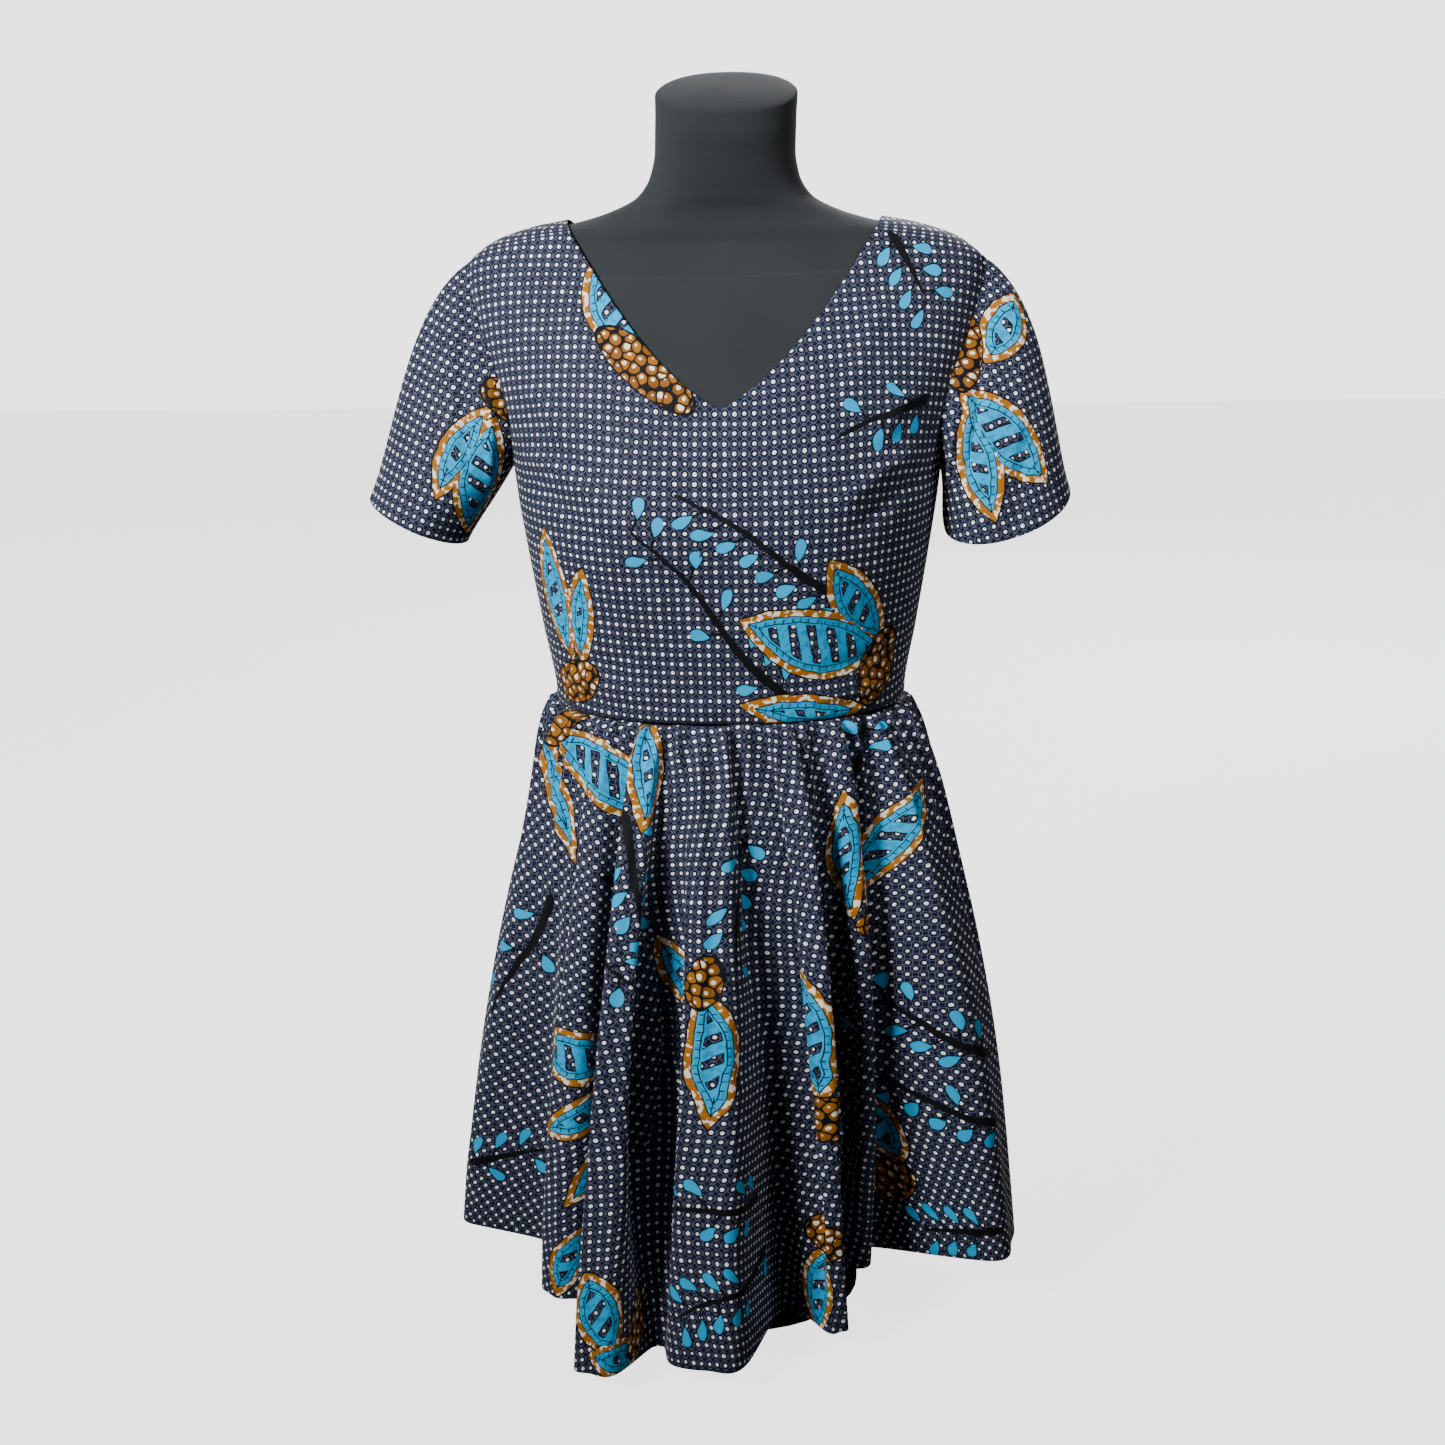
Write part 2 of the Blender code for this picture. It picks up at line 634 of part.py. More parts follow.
def make_form(material):
    columns = 40
    heights = [-0.246, -0.236, -0.215, -0.185, -0.150, -0.105, -0.055, -0.010, 0.035, 0.080,
               0.115, 0.150, 0.180, 0.215, 0.250, 0.280, 0.305, 0.322, 0.335, 0.345, 0.354,
               0.361, 0.367, 0.372, 0.3765, 0.383, 0.392, 0.406, 0.422, 0.445, NECK_TOP]
    rings = []
    for height in heights:
        rings.append([form_point(2 * math.pi * i / columns, height) for i in range(columns)])
    # A slightly domed cap closes the neck, and a flat plate the bottom.
    top = rings[-1]
    centre = sum(top, Vector()) / columns
    lift = Vector((0.0, -math.sin(CAP_TILT), math.cos(CAP_TILT)))
    for share, rise in ((0.90, 0.0035), (0.62, 0.0065), (0.30, 0.0080)):
        rings.append([centre + (point - centre) * share + lift * rise for point in top])
    low = FORM_BOTTOM
    rings.insert(0, [Vector((p.x * 0.955, p.y * 0.955, low)) for p in rings[0]])
    points = [point + Vector((0.0, 0.0, WAIST_HEIGHT)) for ring in rings for point in ring]
    faces = []
    for j in range(len(rings) - 1):
        for i in range(columns):
            beside = (i + 1) % columns
            faces.append([
                j * columns + i,
                j * columns + beside,
                (j + 1) * columns + beside,
                (j + 1) * columns + i,
            ])
    last = (len(rings) - 1) * columns
    faces.append([last + i for i in range(columns)])
    faces.append([i for i in reversed(range(columns))])
    return add_object("dress_form", points, faces, material)


def turned_solid(name, profile, material):
    """A solid turned about the upright axis from its radii and heights, bottom to top."""
    points = []
    for radius, height in profile:
        for i in range(ROUND_SEGMENTS):
            angle = 2 * math.pi * i / ROUND_SEGMENTS
            points.append(Vector((radius * math.cos(angle), radius * math.sin(angle), height)))
    faces = [list(reversed(range(ROUND_SEGMENTS)))]
    for j in range(len(profile) - 1):
        for i in range(ROUND_SEGMENTS):
            beside = (i + 1) % ROUND_SEGMENTS
            faces.append([
                j * ROUND_SEGMENTS + i,
                j * ROUND_SEGMENTS + beside,
                (j + 1) * ROUND_SEGMENTS + beside,
                (j + 1) * ROUND_SEGMENTS + i,
            ])
    last = (len(profile) - 1) * ROUND_SEGMENTS
    faces.append([last + i for i in range(ROUND_SEGMENTS)])
    return add_object(name, points, faces, material)


def make_stand(material):
    turned_solid("stand_base", [
        (BASE_RADIUS - EDGE_BEVEL, 0.0),
        (BASE_RADIUS, EDGE_BEVEL),
        (BASE_RADIUS, BASE_THICKNESS - 2 * EDGE_BEVEL),
        (BASE_RADIUS - 2 * EDGE_BEVEL, BASE_THICKNESS),
    ], material)
    low = BASE_THICKNESS + SEAM_GAP
    high = WAIST_HEIGHT + FORM_BOTTOM - SEAM_GAP
    turned_solid("stand_pole", [
        (COLLAR_RADIUS, low),
        (COLLAR_RADIUS, low + COLLAR_HEIGHT - EDGE_BEVEL),
        (COLLAR_RADIUS - EDGE_BEVEL, low + COLLAR_HEIGHT),
        (POLE_RADIUS, low + COLLAR_HEIGHT),
        (POLE_RADIUS, high - FLANGE_HEIGHT),
        (FLANGE_RADIUS, high - FLANGE_HEIGHT),
        (FLANGE_RADIUS, high),
    ], material)


clear_scene()
cloth = make_material("printed_cotton", CLOTH_COLOUR, 0.72, 0.0)
jersey = make_material("charcoal_jersey", JERSEY_COLOUR, 0.85, 0.0)
steel = make_material("painted_steel", STEEL_COLOUR, 0.45, 0.0)

make_bodice_front(cloth)
make_bodice_back("bodice_back_left", -1, cloth)
make_bodice_back("bodice_back_right", 1, cloth)
for sleeve_name in CUFFS:
    make_sleeve(sleeve_name, cloth)
make_skirt(cloth)
make_form(jersey)
make_stand(steel)
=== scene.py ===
# A short-sleeved A-line dress of wax-printed cotton on a limbless dress form.
# Metres, Z up, the dress faces -Y. Heights are measured from the waist seam. The torso's
# sections, the bodice's creases and the flat places of the print are written in millimetres.
import math
from collections import namedtuple
from functools import partial, partialmethod

import bpy
import numpy as np
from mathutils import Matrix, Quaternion, Vector


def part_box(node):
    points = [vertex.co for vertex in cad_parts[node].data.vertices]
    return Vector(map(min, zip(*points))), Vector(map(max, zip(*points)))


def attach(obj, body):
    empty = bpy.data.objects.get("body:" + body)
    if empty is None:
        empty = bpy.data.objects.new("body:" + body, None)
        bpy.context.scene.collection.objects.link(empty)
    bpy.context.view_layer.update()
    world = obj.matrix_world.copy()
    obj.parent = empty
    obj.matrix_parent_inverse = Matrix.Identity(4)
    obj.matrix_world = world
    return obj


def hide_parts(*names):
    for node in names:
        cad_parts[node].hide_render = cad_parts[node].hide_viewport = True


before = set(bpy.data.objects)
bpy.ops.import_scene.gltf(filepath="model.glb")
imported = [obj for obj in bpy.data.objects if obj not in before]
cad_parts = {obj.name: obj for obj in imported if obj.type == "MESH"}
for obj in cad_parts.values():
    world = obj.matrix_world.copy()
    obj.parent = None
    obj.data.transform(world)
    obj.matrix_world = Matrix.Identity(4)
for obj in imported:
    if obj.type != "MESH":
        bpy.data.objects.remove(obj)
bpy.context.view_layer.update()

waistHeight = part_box("bodice_front")[0][2]
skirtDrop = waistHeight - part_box("skirt_front")[0][2]

# Camera: nearly straight on, a little above the waist, as the photograph was taken.
cameraView = {
    "yaw": 3.0,  # degrees
    "elevation": 14.0,
    "roll": -0.9,
    "distance": 2.10,
    "focalPixels": 2604.0,
    "framePixels": 1445.0,
    "aimRight": -0.0068,
    "aimBelowWaist": 0.0247,
    "sensorWidth": 36.0,
}


def addObject(name, data):
    item = bpy.data.objects.new(name, data)
    bpy.context.scene.collection.objects.link(item)
    return item


def makeCamera():
    yaw = math.radians(cameraView["yaw"])
    elevation = math.radians(cameraView["elevation"])
    right = Vector((math.cos(yaw), math.sin(yaw), 0.0))
    forward = Vector((-math.sin(yaw), math.cos(yaw), 0.0))
    up = Vector((0.0, 0.0, 1.0))
    aim = cameraView["aimRight"] * right + (waistHeight - cameraView["aimBelowWaist"]) * up
    back = math.cos(elevation) * forward - math.sin(elevation) * up
    data = bpy.data.cameras.new("camera")
    data.sensor_width = cameraView["sensorWidth"]
    data.lens = data.sensor_width * cameraView["focalPixels"] / cameraView["framePixels"]
    camera = addObject("camera", data)
    camera.location = aim - back * cameraView["distance"]
    camera.rotation_mode = "QUATERNION"
    roll = Quaternion((0.0, 0.0, 1.0), math.radians(cameraView["roll"]))
    camera.rotation_quaternion = back.to_track_quat("-Z", "Y") @ roll
    bpy.context.scene.camera = camera


makeCamera()
print("camera set")


# Tables and curves shared by the pieces
def readTable(rows, column, place):
    # a smooth value of one named column, read at places in the first column
    at = np.array([row[0] for row in rows])
    values = np.array([getattr(row, column) for row in rows])
    slopes = np.diff(values) / np.diff(at)
    before = slopes[:-1]
    after = slopes[1:]
    flat = before * after <= 0.0
    middle = np.where(flat, 0.0, 2.0 * before * after / np.where(flat, 1.0, before + after))
    tangents = np.concatenate([slopes[:1], middle, slopes[-1:]])
    place = np.clip(place, at[0], at[-1])
    low = np.clip(np.searchsorted(at, place, side="right") - 1, 0, len(at) - 2)
    width = at[low + 1] - at[low]
    t = (place - at[low]) / width
    return (
        values[low] * (1 + 2 * t) * (1 - t) ** 2
        + values[low + 1] * t * t * (3 - 2 * t)
        + tangents[low] * width * t * (1 - t) ** 2
        - tangents[low + 1] * width * t * t * (1 - t)
    )


def softStep(low, high, value):
    t = np.clip((value - low) / (high - low), 0.0, 1.0)
    return t * t * (3 - 2 * t)


def travelled(grid, axis=1):
    # the way from the start of each row or column of a grid
    steps = np.linalg.norm(np.diff(grid, axis=axis), axis=-1)
    return np.insert(np.cumsum(steps, axis=axis), 0, 0.0, axis=axis)


def bell(distance, width):
    return np.exp(-(distance / width) ** 2)


def unit(vectors):
    return vectors / np.maximum(np.linalg.norm(vectors, axis=-1, keepdims=True), 1e-12)


def millimetres(kind, rows):
    return [kind(*(value / 1000 for value in row)) for row in rows]


# The torso with the dress on. Centre is how far a section lies behind the axis, and ease
# is the air between the cloth and the form.
torsoSection = namedtuple("torsoSection", "height halfWidth frontDepth backDepth centre ease")
torsoRows = millimetres(torsoSection, (
    (-250, 144, 93, 96, 0, 3),
    (-232, 156, 102, 106, 0, 3),
    (-160, 162, 108, 112, 0, 3),
    (-100, 156, 107, 106, 0, 3),
    (-45, 144, 105, 96, 0, 4),
    (0, 139, 104, 90, 0, 5),
    (60, 148.5, 110, 94, 0, 4),
    (108, 156.5, 115, 98, 0, 3),
    (156, 164, 117, 101, 0, 3.6),
    (193, 169, 115, 103, 2, 4.4),
    (240, 180, 105, 103, 5, 3.8),
    (280, 191, 89, 98, 9, 3),
    (310, 197.5, 73, 88, 12, 3.2),
    (330, 200.5, 62, 77, 14, 3),
    (343.5, 199, 55, 66, 15, 2.8),
    (352, 190.5, 51, 60, 15, 2.6),
    (360, 178, 48.5, 56, 15, 2.8),
    (366, 162, 47.5, 54, 14.5, 2.4),
    (371, 144, 46.5, 53, 14, 2.2),
    (375, 122, 46, 52, 14, 1.9),
    (383, 93, 45, 50, 12, 2),
    (394, 69, 45.5, 50, 9, 1),
    (409, 60, 47, 51, 6, 1),
    (427, 57, 49, 53, 4, 1),
    (450, 57, 50, 54, 2, 1),
    (467, 57.5, 50, 54, 2, 1),
))
torsoCut = {
    "squareness": 2.3,
    "bustSide": 0.078,
    "bustHeight": 0.150,
    "bustSpread": 0.045,
    "bustRise": 0.045,
    "bustDepth": 0.012,
}


def torsoAt(column, height):
    return readTable(torsoRows, column, height)


def torsoPoint(angle, height):
    # zero is the front, a quarter turn the viewer's right, and half a turn the back
    across = np.sin(angle)
    along = np.sqrt(np.maximum(0.0, 1.0 - np.abs(across) ** torsoCut["squareness"]))
    x = torsoAt("halfWidth", height) * across
    facing = np.maximum(np.cos(angle), 0.0)
    bustX = (np.abs(x) - torsoCut["bustSide"]) / torsoCut["bustSpread"]
    bustZ = (height - torsoCut["bustHeight"]) / torsoCut["bustRise"]
    bust = torsoCut["bustDepth"] * np.exp(-0.5 * (bustX ** 2 + bustZ ** 2)) * facing ** 0.5
    front = -torsoAt("frontDepth", height) * along - bust
    back = torsoAt("backDepth", height) * along
    y = torsoAt("centre", height) + np.where(np.cos(angle) < 0.0, back, front)
    return np.stack([x, y, height + 0.0 * x], axis=-1)


def torsoNormal(angle, height):
    step = 1e-4
    roundIt = torsoPoint(angle + step, height) - torsoPoint(angle - step, height)
    upIt = torsoPoint(angle, height + step) - torsoPoint(angle, height - step)
    return unit(np.cross(roundIt, upIt))


# Cloth: a grid of points with its flat pattern becomes a thin closed wall
clothMake = {
    "thickness": 0.0009,
    "relaxRounds": 500,
    "relaxPace": 1.7,
}


def vertexNormals(points, quads):
    corners = [points[quads[:, k]] for k in range(4)]
    faces = np.cross(corners[2] - corners[0], corners[3] - corners[1])
    normals = np.zeros_like(points)
    for k in range(4):
        for axis in range(3):
            normals[:, axis] += np.bincount(quads[:, k], faces[:, axis], len(points))
    return unit(normals)


def gridQuads(values, flipped):
    # the four corners of each cell of a grid of indices or of flat places
    cells = np.stack([values[:-1, :-1], values[:-1, 1:], values[1:, 1:], values[1:, :-1]], axis=2)
    cells = cells.reshape(-1, 4, *values.shape[2:])
    return cells[:, ::-1] if flipped else cells


def relaxFlat(points, start, step, pinned=None):
    # the flat pattern of a grid: its edges and diagonals settle to their real lengths
    coarse = points[::step[0], ::step[1]]
    flat = start[::step[0], ::step[1]].copy()
    held = np.zeros(flat.shape[:2], bool) if pinned is None else pinned[::step[0], ::step[1]]
    low, high, whole = slice(None, -1), slice(1, None), slice(None)
    pairs = [
        ((whole, low), (whole, high)),
        ((low, whole), (high, whole)),
        ((low, low), (high, high)),
        ((low, high), (high, low)),
    ]
    lengths = [np.linalg.norm(coarse[b] - coarse[a], axis=-1) for a, b in pairs]
    shares = np.zeros(flat.shape[:2])
    for a, b in pairs:
        shares[a] += 1.0
        shares[b] += 1.0
    before = flat.copy()
    for _ in range(clothMake["relaxRounds"]):
        push = np.zeros_like(flat)
        for (a, b), length in zip(pairs, lengths):
            gap = flat[b] - flat[a]
            far = np.maximum(np.linalg.norm(gap, axis=-1), 1e-9)
            fix = gap * (0.5 * (1.0 - length / far))[..., None]
            push[a] += fix
            push[b] -= fix
        flat += np.where(held[..., None], 0.0, clothMake["relaxPace"] * push / shares[..., None])
    moved = flat - before
    rows = np.arange(points.shape[0]) / step[0]
    columns = np.arange(points.shape[1]) / step[1]
    low = np.clip(rows.astype(int), 0, moved.shape[0] - 2)
    t = (rows - low)[:, None, None]
    tall = moved[low] * (1 - t) + moved[low + 1] * t
    low = np.clip(columns.astype(int), 0, moved.shape[1] - 2)
    t = (columns - low)[None, :, None]
    return start + tall[:, low] * (1 - t) + tall[:, low + 1] * t


def flatSize(flat):
    return tuple(float(np.ptp(flat[..., k])) for k in (0, 1))


def flatArea(flat):
    cells = gridQuads(flat, False)
    one = cells[:, 2] - cells[:, 0]
    two = cells[:, 3] - cells[:, 1]
    return float(np.sum(0.5 * np.abs(one[:, 0] * two[:, 1] - one[:, 1] * two[:, 0])))


def makeCloth(name, points, quads, flats, material):
    # outer and inner skins, joined at each edge by a rounded fold
    thickness = clothMake["thickness"]
    count = len(points)
    normals = vertexNormals(points, quads)
    inner = points - thickness * normals
    edges = np.concatenate([quads[:, [k, (k + 1) % 4]] for k in range(4)])
    edgeFlats = np.concatenate([flats[:, [k, (k + 1) % 4]] for k in range(4)])
    outer = ~np.isin(edges[:, 0] * count + edges[:, 1], edges[:, 1] * count + edges[:, 0])
    edges = edges[outer]
    edgeFlats = edgeFlats[outer]
    rim = np.unique(edges)
    place = np.full(count, -1)
    place[rim] = np.arange(len(rim)) + 2 * count
    out = np.zeros((count, 3))
    runs = unit(points[edges[:, 1]] - points[edges[:, 0]])
    for k in (0, 1):
        sides = np.cross(runs, normals[edges[:, k]])
        for axis in range(3):
            out[:, axis] += np.bincount(edges[:, k], sides[:, axis], count)
    folds = 0.5 * (points + inner)[rim] + 0.5 * thickness * unit(out[rim])
    a, b = edges[:, 0], edges[:, 1]
    fa, fb = edgeFlats[:, 0], edgeFlats[:, 1]
    faces = np.concatenate([
        quads,
        count + quads[:, ::-1],
        np.stack([b, a, place[a], place[b]], axis=1),
        np.stack([place[b], place[a], count + a, count + b], axis=1),
    ])
    strip = np.stack([fb, fa, fa, fb], axis=1)
    corners = np.concatenate([flats, flats[:, ::-1], strip, strip])
    allPoints = np.concatenate([points, inner, folds]) + [0.0, 0.0, waistHeight]
    item = addMesh(name, allPoints, faces.tolist(), material)
    layer = item.data.uv_layers.new(name="cloth")
    layer.data.foreach_set("uv", np.ascontiguousarray(corners).ravel())
    layMotifs(item.data, corners, [printMotif(*row) for row in panelMotifs[name]])
    return item


def addMesh(name, points, faces, material):
    mesh = bpy.data.meshes.new(name)
    mesh.from_pydata(np.asarray(points).tolist(), [], faces)
    mesh.update()
    mesh.shade_smooth()
    mesh.materials.append(material)
    return addObject(name, mesh)


def makePanel(name, points, ids, flat, flipped, material):
    # one sheet from the rows of its point numbers and its flat pattern
    used, packed = np.unique(ids, return_inverse=True)
    quads = gridQuads(packed.reshape(ids.shape), flipped)
    piece = makeCloth(name, points[used], quads, gridQuads(flat, flipped), material)
    return piece, flatSize(flat), flatArea(flat)


# Hems and neckline are sewn 2 to 13 mm from their edges; the lines are kept as they are made
stitchMake = {
    "pitch": 0.0042,
    "length": 0.0026,
    "thickness": 0.00045,  # real thread is 0.3 mm
    "proud": 0.0001,
    "hemRows": 2,
    "cuffRows": 3,
    "neckColumns": 2,
}
stitchLines = []

# Print places: every motif lies on a panel's flat pattern, in millimetres, turned in degrees
printMotif = namedtuple("printMotif", "kind u v turn length halfWidth")
motifKinds = ("branch", "leaf", "pebbles")  # later kinds are printed over earlier ones
motifMargin = 0.006
branchMargin = 0.016


def motifReach(motif, x, y):
    # how far a place lies outside a motif, in metres
    half = 0.5 * motif.length
    if motif.kind == "branch":
        return np.maximum(np.abs(x) - half - branchMargin, np.abs(y) - motif.halfWidth)
    if motif.kind == "pebbles":
        return (np.hypot(x / half, y / motif.halfWidth) - 1.0) * motif.halfWidth
    radius = (half ** 2 + motif.halfWidth ** 2) / (2 * motif.halfWidth)
    return np.hypot(x, np.abs(y) + radius - motif.halfWidth) - radius


def layMotifs(mesh, corners, motifs):
    # a face holds at most one motif of each kind, and its corners carry their place in it
    middles = np.mean(corners, axis=1)
    for kind in motifKinds:
        nearest = np.full(len(middles), motifMargin)
        place = np.zeros((len(middles), 4, 3))
        size = np.zeros((len(middles), 4, 3))
        for n, motif in enumerate(motifs):
            if motif.kind != kind:
                continue
            scaled = motif._replace(length=motif.length / 1000.0, halfWidth=motif.halfWidth / 1000.0)
            turn = math.radians(motif.turn)
            axes = np.array([[math.cos(turn), -math.sin(turn)], [math.sin(turn), math.cos(turn)]])
            centre = np.array([motif.u, motif.v]) / 1000.0
            own = (corners - centre) @ axes
            middle = (middles - centre) @ axes
            reach = motifReach(scaled, middle[:, 0], middle[:, 1])
            wins = reach < nearest
            nearest[wins] = reach[wins]
            place[wins, :, :2] = own[wins]
            place[wins, :, 2] = 1.0
            size[wins] = [scaled.length, scaled.halfWidth, float(n % 7)]
        for name, values in ((kind + "Place", place), (kind + "Size", size)):
            layer = mesh.attributes.new(name, "FLOAT_VECTOR", "CORNER")
            layer.data.foreach_set("vector", np.ascontiguousarray(values).ravel())


def scatterMotifs(seed, left, right, low, high, gap):
    # flowers and branches over the parts of the cloth that face away
    rng = np.random.default_rng(seed)
    made = []
    for n, v in enumerate(np.arange(low, high, gap)):
        for k, u in enumerate(np.arange(left + 0.5 * gap * (n % 2), right, gap)):
            u, v = u + rng.uniform(-12, 12), v + rng.uniform(-10, 10)
            turn = float(rng.uniform(0, 360))
            kind = ("flower", "branch", "flower", "branch", "bare")[(2 * n + 3 * k + seed) % 5]
            if kind == "flower":
                made.append(printMotif("pebbles", u, v, turn + 90, 54, 15))
                for aside in (-34, 30):
                    length = float(rng.uniform(72, 98))
                    way = math.radians(turn + aside)
                    spot = (u + 0.56 * length * math.cos(way), v + 0.56 * length * math.sin(way))
                    made.append(printMotif("leaf", *spot, turn + aside, length, 0.22 * length))
            if kind == "branch":
                made.append(printMotif("branch", u, v, turn, float(rng.uniform(90, 120)), 30))
    return made


panelMotifs = {
    "bodiceFront": (
        ("branch", 39, 133, 147, 176, 30),
        ("branch", -6, 84, 130, 184, 30),
        ("leaf", 76, 62, 166, 132, 27),
        ("leaf", 108, 90, 128, 92, 20),
        ("leaf", 66, 8, 174, 108, 15),
        ("pebbles", 134, 34, 68, 66, 20),
        ("leaf", -84, 312, 122, 92, 22),
        ("pebbles", -58, 268, -36, 98, 17),
        ("leaf", -146, 92, 98, 108, 19),
        ("leaf", -118, 78, 80, 84, 15),
        ("pebbles", -134, 22, 20, 62, 17),
        ("branch", 128, 228, 204, 92, 28),
        ("branch", 150, 345, -60, 60, 28),
    ),
    "bodiceBackLeft": scatterMotifs(3, -200, 0, 30, 400, 120),
    "bodiceBackRight": scatterMotifs(4, 20, 220, 20, 400, 120),
    "sleeveLeft": (
        ("leaf", -122, -88, -106, 104, 21),
        ("leaf", -98, -74, -84, 84, 16),
        ("pebbles", -112, -22, 10, 50, 15),
        ("branch", 60, -90, -80, 110, 30),
        ("leaf", 124, -62, 70, 84, 20),
    ),
    "sleeveRight": (
        ("leaf", 36, 8, 150, 66, 18),
        ("leaf", 74, -66, -114, 102, 23),
        ("leaf", 100, -78, -84, 96, 18),
        ("pebbles", 72, 8, -54, 74, 15),
        ("branch", -60, -84, -70, 110, 30),
        ("leaf", -118, -70, 110, 84, 20),
    ),
    "skirtFront": (
        ("leaf", -126, -19, -64, 118, 26),
        ("leaf", -184, -5, -107, 108, 14),
        ("leaf", -72, -28, -100, 96, 16),
        ("pebbles", -144, 39, 10, 60, 16),
        ("branch", -149, -132, -58, 130, 30),
        ("branch", -92, -116, -86, 130, 30),
        ("leaf", 187, -48, 95, 112, 21),
        ("leaf", 147, -76, 134, 112, 19),
        ("pebbles", 206, -110, 20, 34, 12),
        ("branch", 120, 3, 104, 90, 28),
        ("leaf", -6, -252, -88, 112, 19),
        ("pebbles", -9, -196, 70, 44, 14),
        ("leaf", -52, -196, 112, 74, 16),
        ("leaf", 121, -229, 112, 106, 23),
        ("pebbles", 150, -289, 12, 76, 19),
        ("leaf", -292, -181, 132, 84, 22),
        ("leaf", -304, -229, 176, 80, 17),
        ("leaf", -294, -276, -136, 84, 19),
        ("pebbles", -262, -223, 82, 78, 15),
        ("leaf", 330, -251, 127, 64, 19),
        ("pebbles", 344, -298, 66, 52, 17),
        ("leaf", -324, -357, 53, 60, 18),
        ("leaf", -167, -436, 112, 76, 22),
        ("leaf", -149, -475, 166, 66, 16),
        ("pebbles", -119, -460, 60, 58, 16),
        ("leaf", 175, -436, 97, 78, 22),
        ("pebbles", 171, -389, 10, 62, 17),
        ("branch", 320, -146, -168, 120, 30),
        ("branch", 354, -201, -160, 110, 28),
        ("branch", -301, -87, -155, 130, 30),
        ("branch", 32, -436, -160, 140, 30),
        ("branch", 20, -140, -91, 100, 28),
        ("branch", -412, -230, -13, 76, 28),
        ("branch", 408, -299, -134, 80, 28),
        ("branch", 18, -372, -173, 104, 28),
    ),
    "skirtBack": scatterMotifs(5, -440, 440, -480, -20, 128),
}

# Creases and folds: a ridge is high, a trough is low
crease = namedtuple("crease", "x1 z1 x2 z2 bow width height")


def creaseLift(x, z, rows):
    # how far the cloth stands out at x and z for ridges and troughs drawn as bowed lines
    lift = np.zeros_like(x)
    for row in rows:
        runX = row.x2 - row.x1
        runZ = row.z2 - row.z1
        length = math.hypot(runX, runZ)
        along = ((x - row.x1) * runX + (z - row.z1) * runZ) / length ** 2
        aside = ((x - row.x1) * runZ - (z - row.z1) * runX) / length
        aside = aside - row.bow * np.clip(4 * along * (1 - along), 0.0, 1.0)
        taper = softStep(-0.12, 0.28, along) * softStep(-0.12, 0.28, 1.0 - along)
        lift += row.height * bell(aside, row.width) * taper
    return lift


# Bodice
bodiceCut = {
    "underarm": 0.193,
    "vPoint": 0.240,
    "shoulderTip": 0.3435,
    "neckPoint": 0.375,
    "backNeck": 0.347,
    "necklineBow": 0.58,
    "necklinePoint": 0.05,
    "armholeFront": 17.0,  # degrees round the section
    "armholeBack": 30.0,
    "armholeLow": 10.0,
    "underarmDip": 0.030,
    "centreBackShare": 0.45,
    "columns": 48,
    "lowRows": 48,
    "highRows": 64,
}


def torsoAngle(x, height, back):
    share = np.minimum(1.0, x / torsoAt("halfWidth", height))
    angle = np.arcsin(share)
    return math.pi - angle if back else angle


def armhole(turn, back):
    # zero is the shoulder tip and half a turn is under the arm
    cut = bodiceCut
    middle = 0.5 * (cut["shoulderTip"] + cut["underarm"])
    height = middle + 0.5 * (cut["shoulderTip"] - cut["underarm"]) * np.cos(turn)
    reach = np.where(back, cut["armholeBack"], cut["armholeFront"])
    bite = np.radians(np.abs(np.sin(turn)) * (reach - cut["armholeLow"] * np.cos(turn)))
    return math.pi / 2 + np.where(back, bite, -bite), height


def neckline(share, back):
    cut = bodiceCut
    widest = torsoAt("halfWidth", cut["neckPoint"])
    if not back:
        height = cut["vPoint"] + (cut["neckPoint"] - cut["vPoint"]) * share
        point, bow = cut["necklinePoint"], cut["necklineBow"]
        opened = ((share + point) ** bow - point ** bow) / ((1.0 + point) ** bow - point ** bow)
        return torsoAngle(widest * opened, height, False), height
    turn = cut["centreBackShare"]
    rise = cut["vPoint"] + (cut["backNeck"] - cut["vPoint"]) * share / turn
    sweep = 0.5 * math.pi * np.clip((share - turn) / (1.0 - turn), 0.0, 1.0)
    curved = cut["backNeck"] + (cut["neckPoint"] - cut["backNeck"]) * (1.0 - np.cos(sweep))
    height = np.where(share <= turn, rise, curved)
    return torsoAngle(widest * np.sin(sweep), height, True), height


